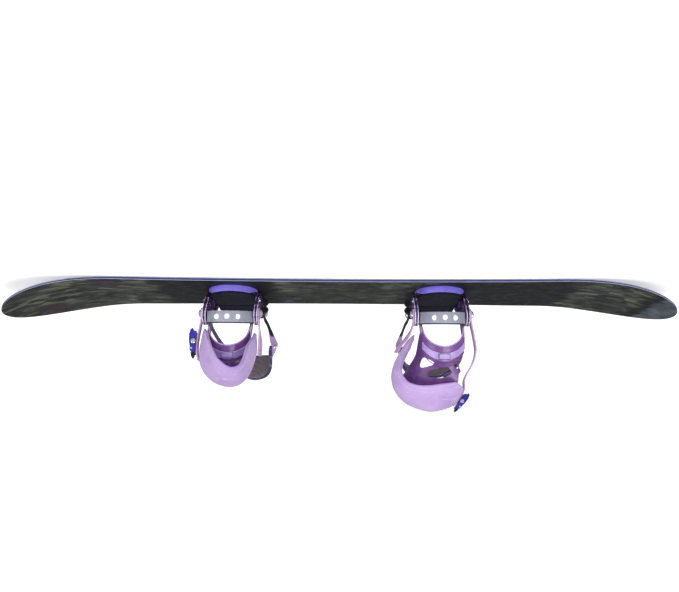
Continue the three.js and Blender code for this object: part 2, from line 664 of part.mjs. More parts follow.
const rearFoot = {
  padRoll: 28,
  padDrop: 9,
  loopMiddle: [-30, 170],
  buckleScale: 0.78,
  windowShift: -3,
  highbackTop: 213,
  highback: [[90, 46.5, -46.3, 46.3], [107, 52, -51, 45], [146, 60, -58, 36], [175, 76, -75, 33],
    [197, 92, -87, 32], [206, 93, -80, 31], [213, 94, -59, 29]],
  ankle: [
    [-67, -68, 107, -58, -94, 104], [-82, -68, 125, -70, -96, 119], [-95, -68, 146, -79, -101, 139],
    [-108, -69, 172, -90, -107, 160],
    [-111.5, -69, 199, -95, -110, 180], [-104, -70, 225, -90, -110, 197], [-84, -70, 248.5, -79, -110, 210],
    [-58, -70, 261, -57, -110, 217], [-30, -70, 267.5, -30, -110, 217], [-5, -70, 264, -8, -110, 214],
    [20, -70, 254.7, 8, -109, 212], [37, -69, 234, 23, -105, 210], [42, -69, 222, 36, -96, 209],
  ],
  tail: [[-bladeRoot, -68, 59], [-bladeRoot, -68, 73], [-63, -68, 90, -0.1], [-71, -68, 105, -0.3],
    [-80, -68, 118, -0.4], [-89.5, -68, 129, -0.4], [-98, -68, 143, -0.4]],
  ladder: [[bladeRoot, -68, 59], [bladeRoot, -67, 73], [65, -64, 104], [69.5, -59, 137], [63, -55, 163],
    [51, -51, 184], [44.5, -49, 201], [44.5, -48, 216], [40, -48, 228.5], [32, -48, 240.5],
    [21.8, -48, 251.2]],
  buckle: { at: [35.9, -48, 243.2], tip: [0.57, 0, -0.82], out: [0.82, 0, 0.57] },
  toeLean: 0.5,
  toeTail: [[-bladeRoot, 36], [-bladeRoot, 47], [-66, 60], [-72, 76], [-77, 92, -0.4], [-81.5, 106, -0.6]],
  toeLadder: [[bladeRoot, 36], [bladeRoot, 48], [64, 61], [67.5, 79], [68, 101], [66, 122], [59.5, 140],
    [47, 154], [30, 163]],
  toeCap: [[-75, 110, 15, 0.5], [-76.5, 128, 19, 0.5], [-73, 146, 24, 0.5], [-61, 159, 26, 0.5],
    [-38, 166.5, 27, 0.5], [-8, 168, 27, 0.5], [20, 165, 26, 0.5], [43, 153.5, 23, 0.5], [56, 138, 19, 0.5],
    [62, 122, 15, 0.5]],
  toeBuckle: { at: [40.5, 124.8, 162.4], tip: [0.86, -0.228, -0.456], out: [0.51, 0.384, 0.769] },
};

function buildBinding(prefix, x, side, foot) {
  const group = new THREE.Group();
  group.position.set(x, 0, deckHeight);
  group.scale.x = side;
  board.add(group);
  const pieces = [
    ['bushing_pad', bushingPad(), 'violetRubber'],
    ['baseplate', baseplate(), 'darkNylon'],
    ['mounting_disc', mountingDisc(), 'blackNylon'],
    ['footbed', footbed(), 'foam'],
    ['toe_ramp', toeRamp(), 'foam'],
    ['heelcup', heelcup(), 'aluminium'],
    ['highback', highback(foot), 'purpleNylon'],
    ['highback_pad', highbackPad(foot), 'foam'],
    ['lean_arch', leanArch(foot), 'lavenderNylon'],
    ['lean_lock', leanLock(foot), 'lavenderNylon'],
    ['pivot_bolt_inner', pivotBolt(-1), 'chrome'],
    ['pivot_bolt_outer', pivotBolt(1), 'chrome'],
  ];
  for (const [name, body, finish] of pieces) place(group, prefix + name, body, finish);
  ankleStrap(group, prefix, foot);
  toeStrap(group, prefix, foot);
}

buildBoard();
buildBinding('front_', frontBindingX, 1, frontFoot);
buildBinding('rear_', rearBindingX, -1, rearFoot);

export default board;
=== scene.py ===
"""Looks of the snowboard with two strap bindings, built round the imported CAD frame. Lengths in the tables are
in millimetres: x outwards from the middle of the board, y to the toes, z up from the deck, as in the CAD."""
import math
import bmesh
import bpy
from mathutils import Matrix, Vector


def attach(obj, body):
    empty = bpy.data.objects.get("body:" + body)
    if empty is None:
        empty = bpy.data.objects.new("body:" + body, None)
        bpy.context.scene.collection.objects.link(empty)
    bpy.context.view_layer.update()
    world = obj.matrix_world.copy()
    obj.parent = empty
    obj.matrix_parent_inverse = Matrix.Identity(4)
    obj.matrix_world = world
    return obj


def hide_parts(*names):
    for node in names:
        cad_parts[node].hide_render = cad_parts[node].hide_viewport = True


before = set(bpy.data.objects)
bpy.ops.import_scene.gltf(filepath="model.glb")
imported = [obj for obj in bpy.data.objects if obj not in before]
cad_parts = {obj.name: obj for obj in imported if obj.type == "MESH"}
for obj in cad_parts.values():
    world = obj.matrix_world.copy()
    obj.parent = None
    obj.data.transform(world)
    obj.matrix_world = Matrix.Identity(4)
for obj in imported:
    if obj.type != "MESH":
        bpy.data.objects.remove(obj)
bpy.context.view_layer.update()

# Board.
LENGTH, WAIST, TIP_WIDTH = 1500, 243, 284
WIDEST_AT, STRAIGHT_TO, TIP_POWER = 583, 543, 2.1
RISE_FROM, NOSE_RISE, TAIL_RISE = 475, 57, 52
DECK, TIP_THICKNESS, THINS_FROM = 8, 5.5, 400
SHEET, BASE, EDGE, SIDEWALL = 0.7, 1.4, 2, 6

# Bindings.
ANKLE_PIVOT, HIGHBACK_PIVOT, TOE_PIVOT = (-68, 59), (-46, 66), (62, 36)
HIGHBACK_WALL, HIGHBACK_LOW, HIGHBACK_DEPTH, HIGHBACK_LEAN = 3.6, 90, 54, 0.325
OPENING_HALF, OPENING_FOOT, OPENING_RISE = 44.2, 88, 44
BLADE_ROOT, BLADE_GAP, BLADE_THICK = 59.3, 0.9, 3
ANKLE_BLADE_HALF, TOE_BLADE_HALF = 11, 9
ANKLE_BUCKLE_HALF, TOE_BUCKLE_HALF, TOE_BUCKLE_SCALE = 15, 12.5, 0.8
TOE_BOLT = 5.3

# Camera: metres, degrees, and the lens in millimetres.
CAMERA_BEHIND, CAMERA_HEIGHT, CAMERA_PITCH, CAMERA_ROLL, CAMERA_LENS = 1.7705, 0.3695, 11.38, 0.34, 42.3

# One table for each binding, with its own measures and lines.
# shell: height, half-width of the curve, inner and outer edge.
# ankle: a point on the pad's ridge, then one on its rear edge. roll and drop place its front edge.
# tail and ladder: points on a blade's middle line, from its eye, some with a twist. Toe rows leave out y.
# toe_cap: x, height, half its width, fall. tail_bolt, and TOE_BOLT above: how many points along the tail.
FRONT = {
    "prefix": "front_", "x": 236, "side": 1, "roll": 12, "drop": 1, "loop_middle": (0, 140), "top": 207,
    "buckle_scale": 1, "shift": 0,
    "shell": [(90, 46.5, -46.3, 46.3), (130, 48, -46, 46), (160, 51, -47, 47), (185, 53, -43, 44),
              (198, 54, -36, 36), (207, 55, -22, 22)],
    "ankle": [
        (-59.5, -68, 104, -54, -96, 102), (-60, -82, 147, -48, -132, 144), (-54.5, -88, 173, -44, -140, 165),
        (-45, -91, 196, -37, -143, 180), (-29, -92, 212.5, -26, -143, 185.5),
        (-8, -93, 219, -14, -143, 186.5), (14, -92, 215, -2, -143, 182), (32, -91, 206, 8, -142, 174),
        (49, -90, 189, 17, -140, 165.5), (60, -88, 166, 25, -135, 152), (62, -84, 140, 35, -122, 134),
        (59.5, -72, 108, 48, -101, 107), (58, -66, 94, 50, -94, 94)],
    "tail": [(-BLADE_ROOT, -68, 59), (-BLADE_ROOT, -68, 73), (-61.5, -69, 95), (-64, -70, 118, -0.2),
             (-64, -72, 140, -0.25), (-63, -74, 152, -0.25)],
    "ladder": [(BLADE_ROOT, -68, 59), (BLADE_ROOT, -68, 73), (62, -69, 94), (64.5, -70, 112),
               (65.5, -72, 132), (64.5, -74, 150), (61.5, -75, 162)],
    "buckle": {"at": (70.4, -71, 125), "tip": (-0.02, 0.1, -0.99), "out": (1, -0.05, -0.02)},
    "tail_bolt": 4.45,
    "toe_lean": 0.667,
    "toe_tail": [(-BLADE_ROOT, 36), (-BLADE_ROOT, 47), (-66, 60), (-72, 76, -0.2), (-77, 92, -0.9),
                 (-82, 104, -1.1), (-79.5, 113, -0.7), (-77.2, 122, -0.35)],
    "toe_ladder": [(BLADE_ROOT, 36), (BLADE_ROOT, 48), (61.5, 62), (54, 80), (43, 97), (30, 113), (15, 129),
                   (0, 144)],
    "toe_cap": [(-75, 108, 14, 0.7), (-77.5, 127, 19, 0.8), (-75.5, 142, 27, 1), (-67, 150, 34, 1.2),
                (-50, 154, 38, 1.3), (-30, 155, 38, 1.3), (-12, 151, 34, 1.2), (3, 139, 25, 1),
                (14, 126, 16, 0.8)],
    "toe_buckle": {"at": (27.5, 125, 124.4), "tip": (0.62, -0.44, -0.65), "out": (0.77, 0.2, 0.6)},
}
REAR = {
    "prefix": "rear_", "x": -222, "side": -1, "roll": 28, "drop": 9, "loop_middle": (-30, 170), "top": 213,
    "buckle_scale": 0.78, "shift": -3,
    "shell": [(90, 46.5, -46.3, 46.3), (107, 52, -51, 45), (146, 60, -58, 36), (175, 76, -75, 33),
              (197, 92, -87, 32), (206, 93, -80, 31), (213, 94, -59, 29)],
    "ankle": [
        (-67, -68, 107, -58, -94, 104), (-82, -68, 125, -70, -96, 119), (-95, -68, 146, -79, -101, 139),
        (-108, -69, 172, -90, -107, 160), (-111.5, -69, 199, -95, -110, 180),
        (-104, -70, 225, -90, -110, 197), (-84, -70, 248.5, -79, -110, 210), (-58, -70, 261, -57, -110, 217),
        (-30, -70, 267.5, -30, -110, 217), (-5, -70, 264, -8, -110, 214), (20, -70, 254.7, 8, -109, 212),
        (37, -69, 234, 23, -105, 210), (42, -69, 222, 36, -96, 209)],
    "tail": [(-BLADE_ROOT, -68, 59), (-BLADE_ROOT, -68, 73), (-63, -68, 90, -0.1), (-71, -68, 105, -0.3),
             (-80, -68, 118, -0.4), (-89.5, -68, 129, -0.4), (-98, -68, 143, -0.4)],
    "ladder": [(BLADE_ROOT, -68, 59), (BLADE_ROOT, -67, 73), (65, -64, 104), (69.5, -59, 137),
               (63, -55, 163), (51, -51, 184), (44.5, -49, 201), (44.5, -48, 216), (40, -48, 228.5),
               (32, -48, 240.5), (21.8, -48, 251.2)],
    "buckle": {"at": (35.9, -48, 243.2), "tip": (0.57, 0, -0.82), "out": (0.82, 0, 0.57)},
    "tail_bolt": 3.7,
    "toe_lean": 0.5,
    "toe_tail": [(-BLADE_ROOT, 36), (-BLADE_ROOT, 47), (-66, 60), (-72, 76), (-77, 92, -0.4),
                 (-81.5, 106, -0.6), (-79.4, 115, -0.4), (-77, 124, -0.2)],
    "toe_ladder": [(BLADE_ROOT, 36), (BLADE_ROOT, 48), (64, 61), (67.5, 79), (68, 101), (66, 122),
                   (59.5, 140), (47, 154), (30, 163)],
    "toe_cap": [(-75, 110, 15, 0.5), (-76.5, 128, 19, 0.5), (-73, 146, 24, 0.5), (-61, 159, 26, 0.5),
                (-38, 166.5, 27, 0.5), (-8, 168, 27, 0.5), (20, 165, 26, 0.5), (43, 153.5, 23, 0.5),
                (56, 138, 19, 0.5), (62, 122, 15, 0.5)],
    "toe_buckle": {"at": (40.5, 124.8, 162.4), "tip": (0.86, -0.228, -0.456), "out": (0.51, 0.384, 0.769)},
}


# ---- Meshes ----------------------------------------------------------------------------------------------

def tidy_normals(mesh):
    """Points every face outwards."""
    work = bmesh.new()
    work.from_mesh(mesh)
    bmesh.ops.recalc_face_normals(work, faces=work.faces)
    work.to_mesh(mesh)
    work.free()
    mesh.polygons.foreach_set("use_smooth", [True] * len(mesh.polygons))


def make(name, parts):
    """One object, in metres, from a list of (points in mm, faces)."""
    points, faces = [], []
    for part_points, part_faces in parts:
        start = len(points)
        points += [tuple(c * 0.001 for c in p) for p in part_points]
        faces += [tuple(i + start for i in face) for face in part_faces]
    mesh = bpy.data.meshes.new(name)
    mesh.from_pydata(points, [], faces)
    tidy_normals(mesh)
    made = bpy.data.objects.new(name, mesh)
    bpy.context.collection.objects.link(made)
    return made


def settled(piece):
    """The piece with its modifiers applied."""
    graph = bpy.context.evaluated_depsgraph_get()
    mesh = bpy.data.meshes.new_from_object(piece.evaluated_get(graph))
    piece.modifiers.clear()
    old = piece.data
    piece.data = mesh
    bpy.data.meshes.remove(old)
    tidy_normals(mesh)
    return piece


def sharp(piece, degrees):
    """Smooth shading that keeps the corners above an angle."""
    piece.data.set_sharp_from_angle(angle=math.radians(degrees))
    return piece


def bevelled(piece, width):
    """Rounds the edges by a width in millimetres."""
    modifier = piece.modifiers.new("edges", "BEVEL")
    modifier.width = width * 0.001
    modifier.segments = 3
    modifier.limit_method = "ANGLE"
    modifier.angle_limit = math.radians(32)
    modifier.harden_normals = True


def moulded(piece, voxel, rounds):
    """A piece with every joint filled and every edge rounded, as moulding leaves it."""
    remesh = piece.modifiers.new("skin", "REMESH")
    remesh.mode = "VOXEL"
    remesh.voxel_size = voxel * 0.001
    smooth = piece.modifiers.new("soft", "SMOOTH")
    smooth.factor = 0.5
    smooth.iterations = rounds
    return settled(piece)


def swept(rings, closed=False):
    """Points and faces of a skin over closed rings, with flat ends unless the rings close on themselves."""
    size = len(rings[0])
    points = [p for ring in rings for p in ring]
    faces = []
    count = len(rings)
    for i in range(count if closed else count - 1):
        a, b = i * size, (i + 1) % count * size
        for j in range(size):
            k = (j + 1) % size
            faces.append((a + j, a + k, b + k, b + j))
    if not closed:
        faces.append(tuple(range(size)))
        faces.append(tuple(range((count - 1) * size, count * size)))
    return points, faces


def tube(path, radius, sides=8, closed=False):
    """A round bead along a path."""
    rings = []
    count = len(path)
    for i, here in enumerate(path):
        ahead = path[(i + 1) % count] if closed or i < count - 1 else here
        behind = path[i - 1] if closed or i else here
        along = (Vector(ahead) - Vector(behind)).normalized()
        across = along.cross(Vector((0.3, 0.9, 0.31))).normalized()
        up = along.cross(across)
        turns = [2 * math.pi * j / sides for j in range(sides)]
        rings.append([Vector(here) + radius * (math.cos(t) * across + math.sin(t) * up) for t in turns])
    return swept(rings, closed)


def lathe(profile, centre, axis, sides=36):
    """A turned piece from rows of (place along the axis, radius)."""
    axis = Vector(axis).normalized()
    across = axis.orthogonal().normalized()
    up = axis.cross(across)
    rings = []
    for place, radius in profile:
        turns = [2 * math.pi * j / sides for j in range(sides)]
        middle = Vector(centre) + axis * place
        rings.append([middle + max(radius, 0.01) * (math.cos(t) * across + math.sin(t) * up) for t in turns])
    return swept(rings)


def prism(outline, low, high, axis):
    """An outline of (a, b) pushed along x, y or z. For x the pair is y and z, for y it is x and z."""
    orders = {"x": lambda a, b, c: (c, a, b), "y": lambda a, b, c: (a, c, b), "z": lambda a, b, c: (a, b, c)}
    order = orders[axis]
    return swept([[order(a, b, level) for a, b in outline] for level in (low, high)])


def catmull(points, t):
    """A point of the centripetal curve through points, with t from 0 to 1."""
    last = len(points) - 1
    place = min(max(t, 0), 1) * last
    index = min(int(place), last - 1)
    part = place - index
    p1, p2 = Vector(points[index]), Vector(points[index + 1])
    p0 = Vector(points[index - 1]) if index else 2 * p1 - p2
    p3 = Vector(points[index + 2]) if index + 2 <= last else 2 * p2 - p1
    d0, d1, d2 = (max((b - a).length, 1e-4) ** 0.5 for a, b in ((p0, p1), (p1, p2), (p2, p3)))
    m1 = ((p1 - p0) / d0 - (p2 - p0) / (d0 + d1) + (p2 - p1) / d1) * d1
    m2 = ((p2 - p1) / d1 - (p3 - p1) / (d1 + d2) + (p3 - p2) / d2) * d1
    c2 = 3 * (p2 - p1) - 2 * m1 - m2
    c3 = 2 * (p1 - p2) + m1 + m2
    return p1 + m1 * part + c2 * part ** 2 + c3 * part ** 3


def loop_through(points, count):
    """Points of a closed smooth loop through 2-D points."""
    size = len(points)
    wide = [points[(i - 2) % size] for i in range(size + 5)]
    flat = [(x, y, 0) for x, y in wide]
    made = []
    for i in range(count):
        t = (2 + i / count * size) / (size + 4)
        made.append(tuple(catmull(flat, t)[:2]))
    return made


def mirrored(foot, piece):
    """Carries a piece from a binding's own frame to its place on the board."""
    mirror = Matrix.Scale(foot["side"], 4, (1, 0, 0))
    matrix = Matrix.Translation((foot["x"] * 0.001, 0, DECK * 0.001)) @ mirror
    piece.data.transform(matrix)
    tidy_normals(piece.data)
    return piece


def repaint(piece, material):
    """Gives a piece one material."""
    piece.data.materials.clear()
    piece.data.materials.append(MATERIALS[material])


def dress(foot, piece, material, slot, body, *nodes):
    """Gives a finished piece its material, CAD body and the CAD nodes that it stands for. Its slot is not used.
    """
    repaint(piece, material)
    prefix = foot["prefix"] if foot else ""
    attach(piece, prefix + body if body != "board" else body)
    if nodes:
        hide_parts(*[prefix + node for node in nodes])
    return piece


def put(foot, name, parts, look, slot, body, *nodes, corner=None):
    """Makes, places and dresses a piece of a binding. Edges above the corner angle stay sharp."""
    piece = make(foot["prefix"] + name, parts)
    if corner:
        sharp(piece, corner)
    return dress(foot, mirrored(foot, piece), look, slot, body, *nodes)


def remould(foot, node, name, voxel, rounds, look, slot, body):
    """Stands a copy of a CAD node in for it, rounded as moulding leaves it."""
    prefix = foot["prefix"]
    piece = bpy.data.objects.new(prefix + name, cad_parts[prefix + node].data.copy())
    bpy.context.collection.objects.link(piece)
    return dress(foot, moulded(piece, voxel, rounds), look, slot, body, node)


# ---- Materials -------------------------------------------------------------------------------------------

def linear(code):
    """A hexadecimal screen colour as linear red, green, blue and alpha."""
    parts = [((code >> shift) & 255) / 255 for shift in (16, 8, 0)]
    return (*[c / 12.92 if c <= 0.04045 else ((c + 0.055) / 1.055) ** 2.4 for c in parts], 1)


class Nodes:
    """Short names for the shader nodes of one material."""

    def __init__(self, name, **sockets):
        self.material = bpy.data.materials.new(name)
        self.material.use_nodes = True
        self.tree = self.material.node_tree
        self.shader = self.tree.nodes["Principled BSDF"]
        for socket, value in sockets.items():
            self.shader.inputs[socket.replace("_", " ")].default_value = value
        self.place = self.add("ShaderNodeTexCoord").outputs["Object"]

    def add(self, kind, **settings):
        node = self.tree.nodes.new(kind)
        for key, value in settings.items():
            setattr(node, key, value)
        return node

    def link(self, source, target):
        self.tree.links.new(source, target)

    def mapped(self, scale, turn=0, at=(0, 0, 0)):
        """Object coordinates, stretched, turned about z and moved."""
        node = self.add("ShaderNodeMapping")
        node.inputs["Scale"].default_value = scale
        node.inputs["Rotation"].default_value = (0, 0, turn)
        node.inputs["Location"].default_value = at
        self.link(self.place, node.inputs["Vector"])
        return node.outputs["Vector"]

    def noise(self, scale, detail=4, vector=None, distortion=0):
        node = self.add("ShaderNodeTexNoise")
        node.inputs["Scale"].default_value = scale
        node.inputs["Detail"].default_value = detail
        node.inputs["Distortion"].default_value = distortion
        self.link(vector or self.place, node.inputs["Vector"])
        return node.outputs["Fac"]

    def part(self, axis):
        """One of the object coordinates, by its letter."""
        node = self.add("ShaderNodeSeparateXYZ")
        self.link(self.place, node.inputs["Vector"])
        return node.outputs[axis]

    def texture(self, kind, scale, output, **settings):
        """An output of a texture of any other kind."""
        node = self.add("ShaderNodeTex" + kind, **settings)
        node.inputs["Scale"].default_value = scale
        self.link(self.place, node.inputs["Vector"])
        return node.outputs[output]

    def ramp(self, value, *stops):
        """Colours or greys for a value, from stops of (value, colour)."""
        node = self.add("ShaderNodeValToRGB")
        elements = node.color_ramp.elements
        while len(elements) < len(stops):
            elements.new(0.5)
        for element, (place, color) in zip(elements, stops):
            element.position = place
            element.color = color if isinstance(color, tuple) else (color, color, color, 1)
        self.link(value, node.inputs["Fac"])
        return node.outputs["Color"]

    def feed(self, socket, value):
        """Sets a socket to a number or a colour, or links it to an output."""
        if isinstance(value, (int, float, tuple)):
            socket.default_value = value
        else:
            self.link(value, socket)

    def math(self, operation, a, b):
        node = self.add("ShaderNodeMath", operation=operation)
        self.feed(node.inputs[0], a)
        self.feed(node.inputs[1], b)
        return node.outputs[0]

    def mix(self, share, a, b):
        node = self.add("ShaderNodeMix", data_type="RGBA")
        for index, value in ((0, share), (6, a), (7, b)):
            self.feed(node.inputs[index], value)
        return node.outputs[2]

    def color(self, source):
        self.link(source, self.shader.inputs["Base Color"])

    def rough(self, value, low, high):
        self.link(self.ramp(value, (0.3, low), (0.7, high)), self.shader.inputs["Roughness"])

    def bump(self, height, distance, strength=1.0):
        """Adds relief on top of any relief so far."""
        node = self.add("ShaderNodeBump")
        node.inputs["Distance"].default_value = distance
        node.inputs["Strength"].default_value = strength
        self.link(height, node.inputs["Height"])
        socket = self.shader.inputs["Normal"]
        if socket.is_linked:
            self.link(socket.links[0].from_socket, node.inputs["Normal"])
        self.link(node.outputs["Normal"], socket)

    def paler_edges(self, base, edge, share):
        """Lighter convex edges over a colour."""
        pointed = self.add("ShaderNodeNewGeometry").outputs["Pointiness"]
        mask = self.math("MULTIPLY", self.ramp(pointed, (0.52, 0.0), (0.62, 1.0)), share)
        return self.mix(mask, base, edge)


def moulded_plastic(name, dark, light, edge, rough=(0.32, 0.46), **sockets):
    """Moulded nylon with cloudy tone, fine grain and paler convex edges."""
    nodes = Nodes(name, **sockets)
    cloud = nodes.noise(38, 5)
    tone = nodes.ramp(cloud, (0.35, linear(dark)), (0.68, linear(light)))
    nodes.color(nodes.paler_edges(tone, linear(edge), 0.55))
    nodes.rough(nodes.noise(160, 3), *rough)
    nodes.bump(nodes.noise(2600, 2), 0.00005, 0.5)
    nodes.bump(nodes.noise(90, 3), 0.0002, 0.35)
    return nodes.material


def padded_leather(name, dark, light):
    """Coated pad cloth: soft tone changes, fine grain and a scatter of scuffs."""
    nodes = Nodes(name, Sheen_Weight=0.25, Sheen_Roughness=0.5, Specular_IOR_Level=0.35)
    cloud = nodes.noise(22, 5, distortion=0.4)
    tone = nodes.ramp(cloud, (0.3, linear(dark)), (0.7, linear(light)))
    scuff = nodes.ramp(nodes.noise(9, 6, nodes.mapped((3, 14, 14), 0.4)), (0.6, 0.0), (0.75, 0.35))
    nodes.color(nodes.mix(scuff, tone, linear(0xe3d6f0)))
    nodes.rough(nodes.noise(60, 4), 0.42, 0.6)
    nodes.bump(nodes.texture("Voronoi", 1100, "Distance", feature="DISTANCE_TO_EDGE"), 0.00016, 0.6)
    nodes.bump(nodes.noise(45, 4), 0.0008, 0.45)
    return nodes.material


def foam(name, dark, light):
    """Closed-cell foam, pitted, with moulded grooves across it."""
    nodes = Nodes(name, Specular_IOR_Level=0.3)
    nodes.color(nodes.ramp(nodes.noise(120, 4), (0.3, linear(dark)), (0.7, linear(light))))
    nodes.rough(nodes.noise(300, 2), 0.7, 0.9)
    nodes.bump(nodes.texture("Voronoi", 900, "Distance"), 0.0003, 0.6)
    grooves = nodes.texture("Wave", 22, "Fac", bands_direction="DIAGONAL")
    nodes.bump(nodes.ramp(grooves, (0.1, 0.0), (0.25, 1.0)), 0.0009, 0.8)
    return nodes.material


def mesh_cloth(name, dark, light):
    """An open rubber mesh: raised diamonds with dark wells between them, the dark of the wells painted shade.
    """
    nodes = Nodes(name, Specular_IOR_Level=0.3)
    cells = nodes.add("ShaderNodeTexVoronoi", feature="DISTANCE_TO_EDGE")
    cells.inputs["Scale"].default_value = 330
    cells.inputs["Randomness"].default_value = 0.15
    nodes.link(nodes.place, cells.inputs["Vector"])
    # Darker towards the middle of each cell, where the mesh sinks: painted shade in its wells.
    well_shade = nodes.ramp(cells.outputs["Distance"], (0.05, 0.0), (0.16, 1.0))
    nodes.color(nodes.mix(well_shade, linear(light), linear(dark)))
    nodes.rough(nodes.noise(200, 2), 0.55, 0.75)
    nodes.bump(nodes.ramp(cells.outputs["Distance"], (0.02, 1.0), (0.2, 0.0)), 0.0007, 0.9)
    return nodes.material


def metal(name, dark, light, stretch, rough, wear, metallic=0.6):
    """Bare, satin or plated metal with fine lines along one direction and a few dull marks."""
    nodes = Nodes(name, Metallic=metallic)
    lines = nodes.noise(40, 5, nodes.mapped(stretch))
    tone = nodes.ramp(lines, (0.3, linear(dark)), (0.7, linear(light)))
    marks = nodes.ramp(nodes.noise(70, 6), (0.6, 0.0), (0.72, 0.5))
    nodes.color(nodes.mix(marks, tone, linear(wear)))
    nodes.rough(lines, *rough)
    nodes.bump(lines, 0.00006, 0.5)
    return nodes.material


def wood_strips():
    """Laminated strips along the board."""
    nodes = Nodes("wood")
    bands = nodes.add("ShaderNodeTexWave", bands_direction="Y")
    bands.inputs["Scale"].default_value = 24
    bands.inputs["Distortion"].default_value = 1.2
    nodes.link(nodes.place, bands.inputs["Vector"])
    grain = nodes.noise(30, 6, nodes.mapped((1, 30, 30)))
    tone = nodes.ramp(bands.outputs["Fac"], (0.2, linear(0xb98f55)), (0.8, linear(0xd8b883)))
    nodes.color(nodes.mix(0.35, tone, nodes.ramp(grain, (0.3, linear(0x8c6738)), (0.7, linear(0xe2c899)))))
    nodes.rough(grain, 0.5, 0.7)
    nodes.bump(grain, 0.0002)
    return nodes.material


def paint(nodes, base, share, amount, color):
    """Lays a colour over a base where a mask shows it."""
    return nodes.mix(nodes.math("MULTIPLY", share, amount), base, linear(color))


def near(nodes, at, reach):
    """1 close to a place on the board, falling to 0 at its reach along x and y."""
    offset = nodes.mapped((1 / reach[0], 1 / reach[1], 0), 0, (-at[0] / reach[0], -at[1] / reach[1], 0))
    length = nodes.add("ShaderNodeVectorMath", operation="LENGTH")
    nodes.link(offset, length.inputs[0])
    ragged = nodes.math("ADD", length.outputs["Value"], nodes.math("MULTIPLY", nodes.noise(26, 4), 0.5))
    return nodes.ramp(ragged, (0.85, 1.0), (1.25, 0.0))


def brush_strokes(nodes, turn, stretch, level):
    """Dashes of paint laid at an angle, broken into patches."""
    strokes = nodes.noise(1, 3, nodes.mapped(stretch, turn), 0.3)
    patches = nodes.noise(1, 4, nodes.mapped((7, 16, 1), turn, (turn * 9, 3, 0)))
    fine = nodes.ramp(strokes, (level, 0.0), (level + 0.05, 1.0))
    coarse = nodes.ramp(patches, (0.44, 0.0), (0.53, 1.0))
    return nodes.math("MULTIPLY", fine, coarse)


def deck_graphic():
    """Grey-green deck with olive strokes at the tips, black round the bindings and a grey tail tip inside a
    ragged black border, the grey a painted reflection of the upturned tip.
    """
    nodes = Nodes("topsheet", Specular_IOR_Level=0.22)
    ground = nodes.ramp(nodes.noise(1, 6, nodes.mapped((12, 40, 1), 0.5)),
                        (0.38, linear(0x1c1f1b)), (0.52, linear(0x2e322d)), (0.66, linear(0x434740)))
    strokes = nodes.math("MAXIMUM", brush_strokes(nodes, 0.6, (18, 60, 1), 0.54),
                         brush_strokes(nodes, -0.5, (20, 64, 1), 0.56))
    painted = paint(nodes, ground, strokes, 0.62, 0x6d7058)
    painted = paint(nodes, painted, brush_strokes(nodes, 0.35, (20, 70, 1), 0.53), 0.85, 0x11120e)
    for at, reach, amount, color in (
            ((0.665, 0.06), (0.05, 0.06), 0.75, 0x33202c), ((0.505, -0.085), (0.04, 0.05), 0.75, 0x33202c),
            ((0.27, 0), (0.2, 0.6), 0.94, 0x08090a), ((-0.36, 0), (0.24, 0.6), 0.94, 0x08090a),
            ((0, 0), (0.14, 0.5), 0.5, 0x1a1c1a)):
        painted = paint(nodes, painted, near(nodes, at, reach), amount, color)
    torn = nodes.math("MULTIPLY", nodes.noise(1, 6, nodes.mapped((30, 60, 1))), 0.05)
    along = nodes.math("ADD", nodes.math("ADD", nodes.part("X"), torn), 1.0)
    # A grey tone on the tail tip past the ragged black border: painted reflection of the upturned tip's sheen.
    tip_sheen = nodes.ramp(nodes.noise(34, 6), (0.3, linear(0x2f343a)), (0.7, linear(0x575e66)))
    painted = paint(nodes, painted, nodes.ramp(along, (0.345, 1.0), (0.365, 0.0)), 0.95, 0x08090b)
    nodes.color(nodes.mix(nodes.ramp(along, (0.325, 1.0), (0.335, 0.0)), painted, tip_sheen))
    nodes.rough(nodes.noise(55, 5), 0.42, 0.62)
    nodes.bump(nodes.noise(1, 3, nodes.mapped((60, 700, 60))), 0.00008, 0.5)
    nodes.bump(nodes.noise(14, 5), 0.0004, 0.25)
    return nodes.material


def two_tone_strap():
    """The inner toe blade: a dark strip below and a lavender connector above a step in its height."""
    nodes = Nodes("toe_tail", Specular_IOR_Level=0.4)
    step = nodes.ramp(nodes.math("MULTIPLY", nodes.part("Z"), 5), (0.455, 0.0), (0.47, 1.0))
    cloud = nodes.noise(38, 5)
    lower = nodes.ramp(cloud, (0.35, linear(0x16151f)), (0.68, linear(0x2a2836)))
    upper = nodes.ramp(cloud, (0.35, linear(0x9a7fb2)), (0.68, linear(0xb89ccc)))
    nodes.color(nodes.mix(step, lower, upper))
    nodes.rough(nodes.noise(160, 3), 0.3, 0.45)
    nodes.bump(nodes.noise(90, 3), 0.0002, 0.35)
    return nodes.material


